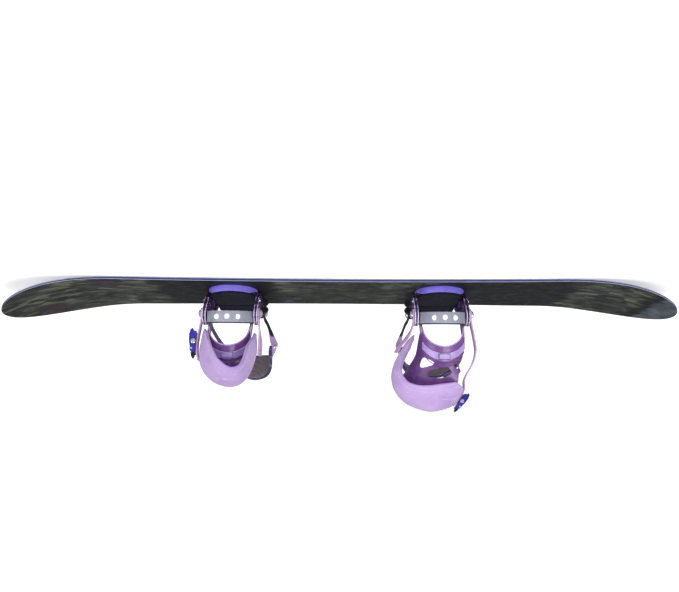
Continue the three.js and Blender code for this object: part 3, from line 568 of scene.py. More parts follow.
def build_materials():
    """Every material by its short name."""
    return {
        "toe_tail": two_tone_strap(),
        "topsheet": deck_graphic(),
        "wood": wood_strips(),
        "base": moulded_plastic("base", 0x14193f, 0x232b61, 0x3c4788, (0.2, 0.32)),
        "steel": metal("steel", 0xbfc2d0, 0xe4e6ef, (4, 60, 60), (0.3, 0.45), 0x9a9eb4),
        "sidewall": moulded_plastic("sidewall", 0x1c2350, 0x2c3470, 0x4a5390),
        "pale_line": moulded_plastic("pale_line", 0x84879f, 0x9fa1b8, 0xb9bacd),
        "plug": moulded_plastic("plug", 0xd4d2e4, 0xecebf6, 0xffffff),
        # A pale glossy lavender with white edges for the rail and ear beads, which paint the highlights those
        # edges catch.
        "painted_highlight": moulded_plastic("painted_highlight", 0xc4aede, 0xe2d4f0, 0xffffff, (0.08, 0.2), Coat_Weight=0.6),
        "dark_strap": moulded_plastic("dark_strap", 0x2c2350, 0x43386b, 0x7468a0, (0.3, 0.45)),
        "bushing": moulded_plastic("bushing", 0x6456c4, 0x7d70dc, 0x9a8fee, (0.4, 0.55),
                                   Subsurface_Weight=0.15, Subsurface_Scale=0.004),
        "chassis": moulded_plastic("chassis", 0x34204a, 0x55376e, 0xa07cba, (0.12, 0.26), Coat_Weight=0.5),
        "black": moulded_plastic("black", 0x0c0c10, 0x1a1a20, 0x3a3a44, (0.3, 0.5)),
        "foam": foam("foam", 0x0a0a18, 0x15152b),
        "aluminium": metal("aluminium", 0x8f93a4, 0xc3c6d2, (6, 6, 90), (0.38, 0.55), 0x6f7282, 0.45),
        "chrome": metal("chrome", 0xc9cad4, 0xf6f6fa, (30, 30, 30), (0.1, 0.2), 0x8f909a, 0.7),
        "shell": moulded_plastic("shell", 0x5b3470, 0x7a4f8f, 0xb79acb, (0.26, 0.4), Coat_Weight=0.15),
        "trim": moulded_plastic("trim", 0x9179b4, 0xac93cb, 0xd8cbea, (0.24, 0.38)),
        "pad": padded_leather("pad", 0x9a7fb2, 0xb398c8),
        # The pad's leather in a darker lavender for the piping: painted shade along the pads' edges.
        "shaded_piping": padded_leather("shaded_piping", 0x8266a8, 0x9b80c0),
        "thread": moulded_plastic("thread", 0xb29cc8, 0xc4b0d8, 0xdccdf0, (0.6, 0.8)),
        "strap": moulded_plastic("strap", 0x9c7ba6, 0xb996c2, 0xe2cbe6, (0.3, 0.45)),
        "cap": mesh_cloth("cap", 0x4a4048, 0x93858c),
        "cap_edge": padded_leather("cap_edge", 0x1e1b42, 0x332e62),
        "lever": moulded_plastic("lever", 0x231d78, 0x352d9c, 0x7d76d8, (0.14, 0.28), Coat_Weight=0.3),
    }


MATERIALS = build_materials()


# ---- Board -----------------------------------------------------------------------------------------------

def half_width(x):
    """Half the board's width at x."""
    distance = abs(x)
    ease = WIDEST_AT - STRAIGHT_TO
    bend = (TIP_WIDTH - WAIST) / 2 / (STRAIGHT_TO ** 2 + STRAIGHT_TO * ease)
    if distance <= WIDEST_AT:
        beyond = max(distance - STRAIGHT_TO, 0)
        eased = 2 * bend * STRAIGHT_TO * (beyond - beyond ** 2 / (2 * ease))
        return WAIST / 2 + bend * min(distance, STRAIGHT_TO) ** 2 + eased
    part = min((distance - WIDEST_AT) / (LENGTH / 2 - WIDEST_AT), 1)
    return TIP_WIDTH / 2 * max(1 - part ** TIP_POWER, 0) ** (1 / TIP_POWER)


def rise(x):
    """Height of the base above the floor at x."""
    height = NOSE_RISE if x > 0 else TAIL_RISE
    run = LENGTH / 2 - RISE_FROM
    radius = (run ** 2 + height ** 2) / (2 * height)
    return radius - math.sqrt(radius ** 2 - max(abs(x) - RISE_FROM, 0) ** 2)


def thickness(x):
    """Thickness of the board at x."""
    part = min(max((abs(x) - THINS_FROM) / (LENGTH / 2 - THINS_FROM), 0), 1)
    return DECK + (TIP_THICKNESS - DECK) * part


def stations():
    """Places along the board, closer together towards both tips."""
    half = [i * WIDEST_AT / 44 for i in range(45)]
    steps = 48
    half += [WIDEST_AT + (LENGTH / 2 - WIDEST_AT) * math.sin(i / steps * math.pi / 2)
             for i in range(1, steps + 1)]
    return [-x for x in reversed(half[1:])] + half


def board_layer(name, inset, low, high, soften):
    """A sheet as wide as the board less an inset, with its upper edge softened."""
    rings = []
    for x in stations():
        place = x * (1 - 2 * inset / LENGTH)
        half = max(half_width(x) - inset, 0.3)
        bottom, top = rise(place) + low(place), rise(place) + high(place)
        steps = [i / 12 for i in range(-11, 12)]
        turn = [(half, bottom), (half, top - soften), (half - soften * 0.3, top - soften * 0.3)]
        ring = [(place, y, z) for y, z in turn]
        ring += [(place, -s * (half - soften), top) for s in [-1, *steps, 1]]
        ring += [(place, -y, z) for y, z in reversed(turn)]
        ring += [(place, s * half, bottom) for s in steps]
        rings.append(ring)
    return sharp(make(name, [swept(rings)]), 50)


def board_rim(name, profile):
    """A strip round the outline. Profile rows are (inset, height above the base, share of the thickness)."""
    places = stations()
    walk = [(x, 1) for x in places] + [(x, -1) for x in reversed(places)]
    rings = []
    for x, side in walk:
        ring = []
        for inset, height, share in profile:
            place = x * (1 - 2 * inset / LENGTH)
            level = rise(place) + height + share * (thickness(place) - SHEET)
            ring.append((place, side * max(half_width(x) - inset, 0.2), level))
        rings.append(ring)
    return sharp(make(name, [swept(rings, closed=True)]), 50)


def build_board():
    """The board's sheets, steel edge, sidewall, core and pale rim line."""
    sheet = board_layer("deck_topsheet", 0, lambda x: thickness(x) - SHEET, thickness, 0.25)
    dress(None, sheet, "topsheet", "topsheet", "board", "topsheet")
    base = board_layer("deck_base", EDGE + 0.05, lambda x: 0, lambda x: BASE, 0.05)
    dress(None, base, "base", "base", "board", "base_sheet")
    wall = board_rim("deck_sidewall", [(0.15, EDGE + 0.1, 0), (0, EDGE + 0.5, 0), (0, -1.3, 1),
                                       (0.6, -1.2, 1), (SIDEWALL, -1.2, 1), (SIDEWALL, EDGE + 0.1, 0)])
    dress(None, wall, "sidewall", "sidewall", "board", "sidewall")
    line = board_rim("deck_line", [(0.6, -1.15, 1), (0, -1.15, 1), (0, -0.3, 1), (0.5, -0.05, 1),
                                   (3, -0.05, 1), (3, -1.15, 1)])
    dress(None, line, "pale_line", "sidewall", "board")
    edge = board_rim("deck_edge", [(0.25, 0, 0), (0, 0.25, 0), (0, EDGE - 0.1, 0), (0.15, EDGE, 0),
                                   (EDGE, EDGE, 0), (EDGE, 0, 0)])
    dress(None, edge, "steel", "steel", "board", "steel_edge")
    repaint(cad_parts["wood_core"], "wood")


# ---- Chassis ---------------------------------------------------------------------------------------------

def bushing_lip(foot):
    """The rubber plate under the baseplate, with a lip that rises round the heel."""
    half, depth, centre = 53.5, 61, -33
    rings = []
    for i in range(61):
        turn = math.pi + math.pi * i / 60
        ring = []
        back = centre + depth * math.sin(turn)
        top = min(13.7, 3.3 + max(0, (centre - 6 - back) * 0.32))
        for inset, z in [(0.6, 0.3), (0, 1), (0, top - 1.4), (0.4, top - 0.4), (1.5, top), (2.7, top),
                         (3.7, top - 0.4), (4, top - 1.4), (4.4, 3.3), (4.4, 0.3)]:
            ring.append(((half - inset) * math.cos(turn), centre + (depth - inset) * math.sin(turn), z))
        rings.append(ring)
    plate = [(half - 0.4, 100), (-half + 0.4, 100)]
    for i in range(41):
        turn = math.pi + math.pi * i / 40
        plate.append(((half - 0.4) * math.cos(turn), centre + (depth - 0.4) * math.sin(turn)))
    put(foot, "bushing", [swept(rings), prism(plate, 0.3, 3.2, "z")], "bushing", "violet_rubber", "board",
        "bushing_pad", corner=40)


def build_chassis(foot):
    """Base plate, cushions, mounting disc with its screws, rails, heelcup and bolts."""
    bushing_lip(foot)
    remould(foot, "baseplate", "chassis", 0.85, 5, "chassis", "dark_nylon", "board")
    for node in ("footbed", "toe_ramp"):
        remould(foot, node, node + "_foam", 0.9, 6, "foam", "foam", "board")
    head = [(0, 4), (2.2, 4), (3, 3.4), (3, 1.6), (1.6, 1.4), (1.6, 0)]
    heads = [lathe(head, (x, y, 6.5), (0, 0, 1)) for x in (-20, 20) for y in (-20, 20)]
    put(foot, "disc_screws", heads, "chrome", "chrome", "board", corner=38)
    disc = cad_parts[foot["prefix"] + "mounting_disc"]
    repaint(disc, "black")
    bevelled(disc, 0.4)
    build_rail_trim(foot)
    build_heelcup(foot)
    build_bolts(foot)


def build_rail_trim(foot):
    """Glossy pale lavender beads round the rear lobes and the ear edges, which paint the highlights along those
    edges, black lugs at the toe end and small rail screws.
    """
    lobe = [(-12, 53), (-25, 68), (-42, 78.6), (-62, 81.4), (-78, 75.6), (-83.6, 62), (-75, 47), (-58, 30),
            (-44, 18)]
    curve = [catmull([(0, y, z) for y, z in lobe], t / 60) for t in range(61)]
    # Pale beads along both rail edges paint the bright highlights that those edges catch.
    beads = [tube([(side * x, p.y, p.z) for p in curve], 1.35) for side in (-1, 1) for x in (52.6, 58.4)]
    put(foot, "rail_beads", beads, "painted_highlight", "lavender_nylon", "board")
    # The ear beads paint the same highlights along the ears' edges.
    ear = [(0, -70, 83), (0, -77.5, 93), (0, -74.5, 108), (0, -64, 106.5)]
    curve = [catmull(ear, t / 20) for t in range(21)]
    rims = [tube([(side * 46.2, p.y, p.z) for p in curve], 0.9) for side in (-1, 1)]
    put(foot, "ear_beads", rims, "painted_highlight", "lavender_nylon", "highback")
    profile = [(-3.5, 0), (-3.5, 7.2), (-2.8, 8), (2.8, 8), (3.5, 7.2), (3.5, 4.2), (2.6, 3.8), (2.6, 0)]
    lugs = [lathe(profile, (side * 64.4, 43, z), (0, -1, 0), 30) for side in (-1, 1) for z in (13.5, 30)]
    put(foot, "toe_lugs", lugs, "black", "black_nylon", "board", corner=30)
    head = [(59, 3.4), (61.6, 3.4), (62.6, 2.6), (62.6, 1.2), (61.9, 1), (61.9, 0)]
    screws = [lathe(head, (0, y, z), (side, 0, 0), 20)
              for side in (-1, 1) for y, z in ((-47, 25.5), (88, 13))]
    put(foot, "rail_screws", screws, "chrome", "chrome", "board", corner=30)


def heelcup_point(turn, inset, share):
    """The hoop behind the heel: turn runs from -1 to 1 round it, share from its lower to its upper edge."""
    rear, centre, front, arc = -121, -62, -8, 0.72
    depth = centre - rear - inset
    angle = min(max(turn / arc, -1), 1) * math.pi / 2
    forward = max(abs(turn) - arc, 0) / (1 - arc) * (front - centre)
    y = centre - depth * math.cos(angle) + forward
    low, high = 62.0, 87 - forward * 0.12
    return (51 - inset) * math.sin(angle), y, low + (high - low) * share - 0.15 * (y - rear)


def build_heelcup(foot):
    """An aluminium hoop with rolled edges, three round pale plugs and a dark strip on its upper edge."""
    rows = [(0.5, 0.0), (0, 0.03), (0, 0.97), (0.5, 1.0), (2.5, 1.0), (3, 0.97), (3, 0.03), (2.5, 0.0)]
    plug_height = 74
    plug_places = ((-22, -115.8), (0, -121), (22, -115.8))
    rings = [[heelcup_point(i / 90, inset, share) for inset, share in rows] for i in range(-90, 91)]
    hoop = make(foot["prefix"] + "heel_hoop", [swept(rings)])
    drill = [(0, 4.5), (20, 4.5)]
    cut_by(hoop, make("hole_cutters", [lathe(drill, (x, -130, plug_height), (0, 1, 0), 28)
                                       for x, _ in plug_places]))
    mirrored(foot, sharp(hoop, 35))
    dress(foot, hoop, "aluminium", "aluminium", "board", "heelcup")
    profile = [(-2.6, 4.2), (0, 5.4), (0.8, 5.6), (1.2, 4.9), (0.7, 4.3), (0.5, 0)]
    buttons = [lathe(profile, (x, y, plug_height), (0, -1, 0), 28) for x, y in plug_places]
    bead = tube([heelcup_point(i / 60, 1.5, 1.01) for i in range(-42, 43)], 1.7, 10)
    put(foot, "heel_trim", [bead], "black", "black_nylon", "board")
    put(foot, "heel_plugs", buttons, "plug", "lavender_nylon", "board", corner=35)


def cut_by(piece, cutter):
    """Takes a cutter's shape out of a piece and removes the cutter."""
    modifier = piece.modifiers.new("cut", "BOOLEAN")
    modifier.operation = "DIFFERENCE"
    modifier.solver = "EXACT"
    modifier.object = cutter
    settled(piece)
    bpy.data.objects.remove(cutter)


def build_bolts(foot):
    """Chrome bolts with a ring head, one object for each CAD bolt."""
    strap = [(52.4, 0), (52.4, 3.9), (63.6, 3.9), (63.6, 7.4), (64, 8), (65.8, 8), (67.2, 7.1), (68.2, 5.6),
             (68.6, 4.7), (68.2, 3.2), (67, 2.8), (66.8, 0)]
    pivot = [(59.2, 0), (59.2, 3.9), (42.6, 3.9), (42.6, 6.4), (42.2, 7), (40.6, 7), (39.7, 6), (39.4, 4.6),
             (39.6, 3.2), (40.8, 2.6), (40.8, 0)]
    kinds = [("ankle_bolt_", strap, ANKLE_PIVOT), ("toe_bolt_", strap, TOE_PIVOT),
             ("pivot_bolt_", pivot, HIGHBACK_PIVOT)]
    for stem, profile, (y, z) in kinds:
        for side, end in ((-1, "inner"), (1, "outer")):
            head = lathe(profile, (0, y, z), (side, 0, 0), 32)
            cross = tube([(side * 67.5, y - 2.4, z), (side * 67.5, y + 2.4, z)], 0.5, 6)
            parts = [head, cross] if profile is strap else [head]
            put(foot, stem + end + "_chrome", parts, "chrome", "chrome", "board", stem + end, corner=30)


# ---- Highback --------------------------------------------------------------------------------------------

def shell_row(foot, z):
    """Half-width of the curve and the inner and outer edge of the highback at a height."""
    rows = foot["shell"]
    z = min(max(z, rows[0][0]), rows[-1][0])
    index = next(i for i in range(1, len(rows)) if z <= rows[i][0])
    part = (z - rows[index - 1][0]) / (rows[index][0] - rows[index - 1][0])
    return catmull([row[1:] for row in rows], (index - 1 + part) / (len(rows) - 1))


def shell_point(foot, x, z, offset):
    """A point over the highback's outer face, by its place from behind."""
    half = shell_row(foot, z)[0]
    angle = math.asin(min(max(x / half, -1), 1))
    centre = -62 + HIGHBACK_LEAN * (z - HIGHBACK_LOW)
    reach = HIGHBACK_DEPTH + offset
    return Vector(((half + offset) * math.sin(angle), centre - reach * math.cos(angle), z))


def shell_wall(foot):
    """The curved wall of the highback, before its openings are cut."""
    across, up = 48, 44
    rings = []
    for i in range(up + 1):
        z = HIGHBACK_LOW + (foot["top"] - HIGHBACK_LOW) * i / up
        half, *edges = shell_row(foot, z)
        angles = [math.asin(min(max(x / half, -1), 1)) for x in edges]
        turns = [angles[0] + (angles[1] - angles[0]) * j / across for j in range(across + 1)]
        ring = [shell_point(foot, half * math.sin(t), z, 0) for t in turns]
        ring += [shell_point(foot, half * math.sin(t), z, -HIGHBACK_WALL) for t in reversed(turns)]
        rings.append(ring)
    return swept(rings)


def heel_opening():
    """Outline of the arched opening at the foot of the highback."""
    turns = [math.pi * i / 40 for i in range(41)]
    arc = [(OPENING_HALF * math.cos(t), OPENING_FOOT + OPENING_RISE * math.sin(t)) for t in turns]
    return [(OPENING_HALF, 60), *arc, (-OPENING_HALF, 60)]


def windows(foot):
    """Outlines of the three windows of the highback."""
    shapes = [
        [(-38, 154), (-27, 158), (-15, 167), (-26, 173), (-37, 174), (-40, 164)],
        [(-22, 184), (-6, 177), (8, 176), (14, 184), (4, 195), (-12, 197), (-22, 192)],
        [(22, 160), (27, 166), (26, 178), (21, 174)],
    ]
    base = shell_row(foot, 150)[0]
    return [loop_through([(foot["shift"] + x * shell_row(foot, z)[0] / base, z) for x, z in points], 40)
            for points in shapes]


def crescent(foot, half, rise_z, spread, offset):
    """A line on the highback that runs round the heel opening."""
    path = []
    for i in range(41):
        x = half * (i / 20 - 1)
        path.append(shell_point(foot, x, HIGHBACK_LOW + rise_z * math.sqrt(1 - (x / spread) ** 2), offset))
    return path


def build_highback(foot):
    """The moulded shell with its ears, ribs and openings."""
    shell = make("shell_body", [shell_wall(foot)])
    outlines = [heel_opening(), *windows(foot)]
    cutter = make("shell_cutter", [prism(outline, -200, 200, "y") for outline in outlines])
    cut_by(shell, cutter)
    ear = loop_through([(-33, 69), (-37, 57), (-48, 53), (-58, 59), (-66, 76), (-77, 92), (-74, 108),
                        (-60, 106), (-42, 86)], 60)
    extra = [prism(ear, side * 43, side * 46.6, "x") for side in (-1, 1)]
    extra += [tube(crescent(foot, 44, 78, 58, 0.2), 1.5), tube(crescent(foot, 40, 84, 60, 0.1), 1.1)]
    extra += [tube([shell_point(foot, x, z, 0.2) for x, z in
                    ((-11, 166), (11, 166), (11, 174), (-11, 174))], 0.8, closed=True)]
    if foot is REAR:
        at = shell_point(foot, -64.6, 198, 0)
        head = [(-1, 4.6), (0.9, 4.6), (1.3, 3.6), (0.6, 3), (0.6, 0)]
        extra.append(lathe(head, at, (-0.75, -0.6, 0.2), 24))
    whole = make(foot["prefix"] + "highback_shell", extra)
    join(whole, shell)
    mirrored(foot, moulded(whole, 0.8, 5))
    dress(foot, whole, "shell", "purple_nylon", "highback", "highback")
    # A lavender bead round the heel opening; its pale colour paints the highlight along the opening's edge.
    turns = [math.pi * i / 60 for i in range(61)]
    rim = [shell_point(foot, 43.9 * math.cos(turn), OPENING_FOOT + 1 + 43.5 * math.sin(turn), -0.6)
           for turn in turns]
    put(foot, "opening_highlight_rim", [tube(rim, 1.5, 10)], "trim", "lavender_nylon", "highback")
    remould(foot, "highback_pad", "highback_liner", 0.9, 6, "foam", "foam", "highback")
    build_lean(foot)


def join(target, other):
    """Moves the mesh of another object into target."""
    work = bmesh.new()
    work.from_mesh(target.data)
    work.from_mesh(other.data)
    bpy.data.objects.remove(other)
    work.to_mesh(target.data)
    work.free()


def build_lean(foot):
    """The forward-lean hoop with its rolled edges, and its flip lock ringed by a black loop that paints the
    shade of its recess.
    """
    profile = [(0, 0.6), (0, 2.6), (0.06, 3.5), (0.2, 3.1), (0.5, 2.9), (0.8, 3.1), (0.94, 3.5),
               (1, 2.6), (1, 0.6)]
    rings = []
    for i in range(81):
        x = 43 * (i / 40 - 1)
        low = HIGHBACK_LOW + 57 * math.sqrt(1 - (x / 52) ** 2)
        high = HIGHBACK_LOW + 72 * math.sqrt(1 - (x / 56) ** 2)
        rings.append([shell_point(foot, x, low + (high - low) * s, out) for s, out in profile])
    put(foot, "lean_hoop", [swept(rings)], "trim", "lavender_nylon", "lean", "lean_arch", corner=50)
    remould(foot, "lean_lock", "lean_flip", 0.35, 4, "trim", "lavender_nylon", "lean_lock")
    # A black loop round the flip lock paints the shade in the recess it sits in.
    corners = ((-11.4, 148.4), (11.4, 148.4), (11.4, 159.8), (-11.4, 159.8))
    slot = [shell_point(foot, x, z, 3.4) for x, z in corners]
    put(foot, "lean_lock_shade", [tube(slot, 0.8, closed=True)], "black", "black_nylon", "lean")


# ---- Straps ----------------------------------------------------------------------------------------------

def band_surface(rows):
    """A strap through two or three edge lines: station counts rows, across runs from rear edge to front."""
    lines = [[row[i] for row in rows] for i in range(len(rows[0]))]
    end = len(rows) - 1

    def point(station, across):
        ends = [catmull(line, station / end) for line in lines]
        if len(ends) == 2:
            return ends[0].lerp(ends[1], across)
        bend = 0.62
        weights = ((across - bend) * (across - 1) / bend, across * (across - 1) / (bend * (bend - 1)),
                   across * (across - bend) / (1 - bend))
        return sum((p * w for p, w in zip(ends, weights)), Vector())

    def surface(station, across, out):
        step = 0.03
        ahead = point(min(station + step, end), across) - point(max(station - step, 0), across)
        width = point(station, across + step) - point(station, across - step)
        return point(station, across) + ahead.cross(width).normalized() * out

    return surface


def blade_rows(points, across, half):
    """Both edges of a blade. A fourth number in a point twists the blade there, turning across towards x."""
    made = []
    for x, y, z, *twist in points:
        reach = Vector((twist[0] if twist else 0, across[1], across[2])).normalized() * half
        made.append((Vector((x, y, z)) - reach, Vector((x, y, z)) + reach))
    return made


def blade(points, across, half, pivot, side, toothed):
    """A nylon blade from a bolt eye, with rolled edges and, where it takes a ratchet, a row of teeth."""
    surface = band_surface(blade_rows(points, across, half))
    last = len(points) - 1
    steps = 300 if toothed else 90
    pitch = 9
    rings = []
    for i in range(steps + 1):
        t = i / steps
        end = min(1, math.sqrt(max(0.0, (1 - t) * 22)) + 0.25)
        tooth = 1.3 * (i % pitch) / pitch if toothed and 0.2 < t < 0.97 else 0.0
        groove = 0 if toothed else -0.5
        profile = [(0.02, 0.9), (0, 1.3), (0, 3.5), (0.03, 3.9), (0.2, 3.9), (0.24, 3.2 + groove * 0.4),
                   (0.28, 3.1 + tooth + groove), (0.72, 3.1 + tooth + groove), (0.76, 3.2 + groove * 0.4),
                   (0.8, 3.9), (0.97, 3.9), (1, 3.5), (1, 1.3), (0.98, 0.9)]
        rings.append([surface(t * last, 0.5 + (v - 0.5) * end, -side * out) for v, out in profile])
    face = BLADE_ROOT + BLADE_GAP
    eye = lathe([(face, 4.4), (face, half + 1.2), (face + 0.4, half + 1.5), (face + 2, half + 1.5),
                 (face + BLADE_THICK, half + 0.9), (face + BLADE_THICK, 4.4)], (0, *pivot), (side, 0, 0), 40)
    return [swept(rings), eye]


def pad_rows(foot):
    """Three lines along the ankle pad: rear edge, ridge and a front edge dropped towards its middle."""
    made = []
    for row in foot["ankle"]:
        ridge, rear = row[:3], row[3:]
        dx, dz = foot["loop_middle"][0] - ridge[0], foot["loop_middle"][1] - ridge[2]
        drop = foot["drop"] / math.hypot(dx, dz)
        made.append((rear, ridge, (ridge[0] + dx * drop, ridge[1] + foot["roll"], ridge[2] + dz * drop)))
    return made


def pad_shape(surface, last, thick, steps=150, crown=1.6):
    """A pad with a crowned face, a sewn channel inside each edge and a rounded border."""
    def width_at(t):
        return min(1, math.sqrt(max(0.2, min(t, 1 - t) * 16)))

    face = [(0.0, -0.62), (0.006, -0.3), (0.025, -0.08), (0.05, 0.0), (0.075, -0.1), (0.09, -0.2),
            (0.105, -0.1), (0.13, 0.02), (0.2, 0.12), (0.32, 0.19), (0.5, 0.22), (0.68, 0.19), (0.8, 0.12),
            (0.87, 0.02), (0.895, -0.1), (0.91, -0.2), (0.925, -0.1), (0.95, 0.0), (0.975, -0.08),
            (0.994, -0.3), (1.0, -0.62)]
    back = [(0.97, -0.95), (0.8, -1.0), (0.5, -1.0), (0.2, -1.0), (0.03, -0.95)]
    rings = []
    for i in range(steps + 1):
        t = i / steps
        puff = min(1, math.sqrt(max(0.12, min(t, 1 - t) * 30)))
        ring = []
        for v, level in face:
            height = (level * crown * 2 - 1.2) * puff - 3 * (1 - puff)
            ring.append(surface(t * last, 0.5 + (v - 0.5) * width_at(t), height))
        for v, level in back:
            ring.append(surface(t * last, 0.5 + (v - 0.5) * width_at(t), level * (thick - 2) * puff - 3.4))
        rings.append(ring)
    return swept(rings), width_at


def pad_edges(surface, last, width_at, out, sides):
    """Lines along the two borders of a pad."""
    return [[surface(t / 120 * last, 0.5 + (v - 0.5) * width_at(t / 120), out) for t in range(121)]
            for v in sides]


def stitches(surface, last, width_at, out, count):
    """Short raised threads along both sewn channels."""
    start, run, thread_share = 0.03, 0.94, 0.32
    parts = []
    for line in (0.09, 0.91):
        for i in range(count):
            middle = start + run * (i + 0.5) / count
            half = run / count * thread_share
            ends = [surface(t * last, 0.5 + (line - 0.5) * width_at(t), out) for t in
                    (middle - half, middle, middle + half)]
            parts.append(tube(ends, 0.42, 6))
    return parts


def build_ankle(foot):
    """The ankle strap: stitched pad with piping in a darker lavender that paints the shade along its edges,
    tail, ladder and buckle.
    """
    rows = pad_rows(foot)
    surface = band_surface(rows)
    last = len(rows) - 1
    shape, width_at = pad_shape(surface, last, 8)
    put(foot, "ankle_padding", [shape], "pad", "lavender_pad", "ankle", "ankle_pad")
    threads = stitches(surface, last, width_at, -1.55, 84)
    put(foot, "ankle_stitches", threads, "thread", "lavender_pad", "ankle")
    # The darker piping along both borders paints the shade that falls along the pad's edges.
    shaded_piping = [tube(path, 1.4) for path in pad_edges(surface, last, width_at, -3.2, (0, 1))]
    put(foot, "ankle_piping", shaded_piping, "shaded_piping", "lavender_pad", "ankle")
    across = (0, 1, 0.08)
    tail = blade(foot["tail"], across, ANKLE_BLADE_HALF, ANKLE_PIVOT, -1, False)
    put(foot, "ankle_inner_blade", tail, "strap", "mauve_nylon", "ankle", "ankle_tail", corner=42)
    ladder = blade(foot["ladder"], across, ANKLE_BLADE_HALF, ANKLE_PIVOT, 1, True)
    put(foot, "ankle_teeth_blade", ladder, "strap", "mauve_nylon", "ankle", "ankle_ladder", corner=30)
    tail_bolt(foot, "ankle", foot["tail"], across, ANKLE_BLADE_HALF, foot["tail_bolt"])
    build_buckle(foot, "ankle", foot["buckle"], foot["buckle_scale"], ANKLE_BUCKLE_HALF)


def tail_bolt(foot, strap, points, across, half, station):
    """The chrome screw that holds a blade to its pad."""
    surface = band_surface(blade_rows(points, across, half))
    at = surface(station, 0.5, 3.1)
    axis = surface(station, 0.5, 4.1) - at
    head = lathe([(0, 0), (0, 5.6), (1.0, 5.8), (1.9, 4.8), (2.1, 3.4), (1.5, 2.6), (1.4, 0)], at, axis, 28)
    put(foot, strap + "_tail_screw", [head], "chrome", "chrome", strap, corner=30)


def build_buckle(foot, strap, seat, scale, half):
    """The ratchet buckle: base, lever and, at the ankle, a release, with ring-headed pins in the cheeks.
    A seat has its place, a direction along the strap, called tip, and one away from it, called out."""
    base, lever, release = strap + "_buckle", strap + "_lever", strap + "_release"
    blue, black = ("lever", "blue_nylon"), ("black", "black_nylon")
    ankle = strap == "ankle"
    remould(foot, base, base + "_base", 0.42, 3, *(blue if ankle else black), strap)
    remould(foot, lever, base + "_lever", 0.42, 4, *blue, lever)
    if ankle:
        remould(foot, release, base + "_release", 0.4, 3, *black, release)
    tip = Vector(seat["tip"]).normalized()
    width = Vector(seat["out"]).cross(tip).normalized()
    out = tip.cross(width)
    pins = []
    for along, raised, radius in ((2, 5.6, 5.2), (-14, 8.5, 2.6)):
        at = Vector(seat["at"]) + scale * (along * tip + raised * out)
        for side in (-1, 1):
            profile = [(half - 0.4, 0), (half - 0.4, radius), (half + 0.9, radius),
                       (half + 1.5, radius * 0.8), (half + 1.5, radius * 0.6), (half + 0.8, radius * 0.5),
                       (half + 0.8, 0)]
            pins.append(lathe([(p, r * scale) for p, r in profile], at, width * side, 26))
    put(foot, base + "_pins", pins, "chrome", "chrome", strap, corner=30)


def toe_point(foot, x, z):
    """A point of the toe strap, which leans forwards from its pivot."""
    return Vector((x, TOE_PIVOT[0] + (z - TOE_PIVOT[1]) * foot["toe_lean"], z))


def build_toe_cap(foot):
    """The mesh cap with its soft border. Rows are x, height, half its width and how steeply that falls."""
    lines = []
    for x, z, half, fall in foot["toe_cap"]:
        reach = Vector((0, 1, -fall)).normalized() * half
        lines.append((toe_point(foot, x, z) - reach, toe_point(foot, x, z) + reach))
    surface = band_surface(lines)
    last = len(lines) - 1
    shape, width_at = pad_shape(surface, last, 6, 130, 1.0)
    put(foot, "toe_cap_mesh", [shape], "cap", "cap_rubber", "toe", "toe_cap")
    border = [tube(path, 3.4, 12) for path in pad_edges(surface, last, width_at, -2.6, (0.03, 0.97))]
    put(foot, "toe_cap_edge", border, "cap_edge", "cap_rubber", "toe")


def build_toe(foot):
    """The toe strap: cap, tail that laps over the cap's end, ladder and buckle."""
    build_toe_cap(foot)
    across = (0, 1, -foot["toe_lean"])
    inner, outer = [[(*toe_point(foot, x, z), *twist) for x, z, *twist in foot[key]]
                    for key in ("toe_tail", "toe_ladder")]
    tail = blade(inner, across, TOE_BLADE_HALF, TOE_PIVOT, -1, False)
    put(foot, "toe_inner_blade", tail, "toe_tail", "mauve_nylon", "toe", "toe_tail", corner=42)
    ladder = blade(outer, across, TOE_BLADE_HALF, TOE_PIVOT, 1, True)
    put(foot, "toe_teeth_blade", ladder, "dark_strap", "dark_nylon", "toe", "toe_ladder", corner=30)
    tail_bolt(foot, "toe", inner, across, TOE_BLADE_HALF, TOE_BOLT)
    build_buckle(foot, "toe", foot["toe_buckle"], TOE_BUCKLE_SCALE, TOE_BUCKLE_HALF)


# ---- Stage -----------------------------------------------------------------------------------------------

def plain(name, color, roughness, glow):
    """A faintly clouded white for the stage."""
    nodes = Nodes(name, Roughness=roughness, Emission_Strength=glow)
    nodes.shader.inputs["Emission Color"].default_value = (1, 1, 1, 1)
    nodes.color(nodes.ramp(nodes.noise(3, 3), (0.3, color), (0.7, color * 1.02)))
    return nodes.material


def build_stage():
    """A pale round floor that curves up into a pale wall far off."""
    bend, reach, top = 2000, 5600, 4600
    profile = [(-0.3, 1), (-0.3, 2500)]
    profile += [(bend - 0.3 - bend * math.cos(t * math.pi / 32), reach + bend * math.sin(t * math.pi / 32))
                for t in range(17)]
    profile += [(top, reach + bend), (top, reach + bend + 200), (-400, reach + bend + 200), (-400, 1)]
    floor = make("floor", [lathe(profile, (0, 0, 0), (0, 0, 1), 96)])
    floor.data.materials.append(plain("floor", 0.84, 0.8, 0.52))
    floor.visible_glossy = False


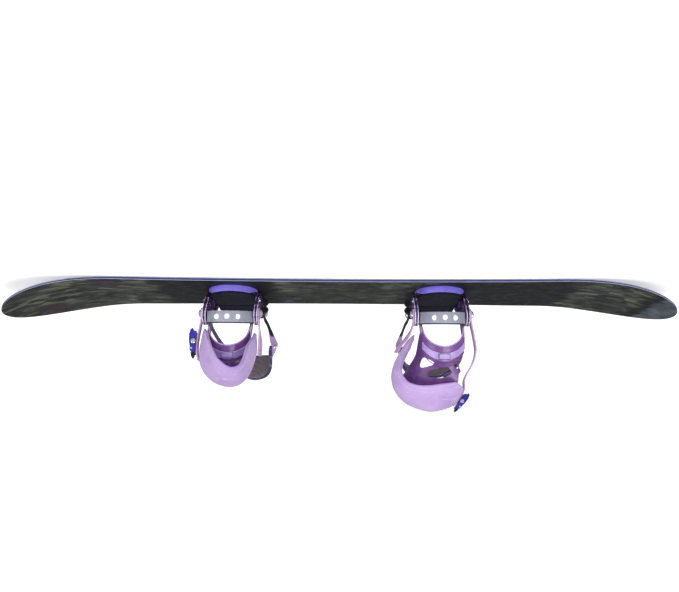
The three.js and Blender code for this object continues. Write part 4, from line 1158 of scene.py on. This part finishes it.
def area_light(name, at, target, size, power, tint=(1, 1, 1)):
    """A soft rectangular lamp aimed at a point."""
    light = bpy.data.lights.new(name, "AREA")
    light.shape = "RECTANGLE"
    light.size, light.size_y = size
    light.energy = power
    light.color = tint
    made = bpy.data.objects.new(name, light)
    made.location = at
    made.rotation_euler = (Vector(target) - Vector(at)).to_track_quat("-Z", "Y").to_euler()
    bpy.context.collection.objects.link(made)


def build_lights():
    """Three soft lamps and a dim grey surround."""
    area_light("key", (-1.2, -2.6, 2.2), (0, 0, 0.1), (2.2, 1.4), 62)
    area_light("fill", (2.4, -2.2, 1.2), (0, 0, 0.1), (2.0, 1.6), 32, (0.96, 0.97, 1))
    area_light("top", (0, 0.6, 3.0), (0, 0, 0), (2.6, 1.6), 30)
    world = bpy.data.worlds.new("studio")
    world.use_nodes = True
    world.node_tree.nodes["Background"].inputs["Color"].default_value = (0.3, 0.31, 0.34, 1)
    world.node_tree.nodes["Background"].inputs["Strength"].default_value = 0.7
    bpy.context.scene.world = world


def build_camera():
    """The view from behind the bindings, a little above the deck, with the picture's top towards the base."""
    pitch = math.radians(CAMERA_PITCH)
    roll = math.radians(CAMERA_ROLL)
    forward = Vector((0, math.cos(pitch), -math.sin(pitch)))
    up = Vector((math.sin(roll), -math.sin(pitch) * math.cos(roll), -math.cos(pitch) * math.cos(roll)))
    right = forward.cross(up)
    data = bpy.data.cameras.new("camera")
    data.lens = CAMERA_LENS
    data.clip_end = 60
    camera = bpy.data.objects.new("camera", data)
    camera.matrix_world = Matrix((
        (right.x, up.x, -forward.x, 0.0),
        (right.y, up.y, -forward.y, -CAMERA_BEHIND),
        (right.z, up.z, -forward.z, CAMERA_HEIGHT),
        (0, 0, 0, 1)))
    bpy.context.collection.objects.link(camera)
    bpy.context.scene.camera = camera
    bpy.context.scene.view_settings.view_transform = "Standard"


build_camera()
build_board()
for binding in (FRONT, REAR):
    build_chassis(binding)
    build_highback(binding)
    build_ankle(binding)
    build_toe(binding)
build_stage()
build_lights()
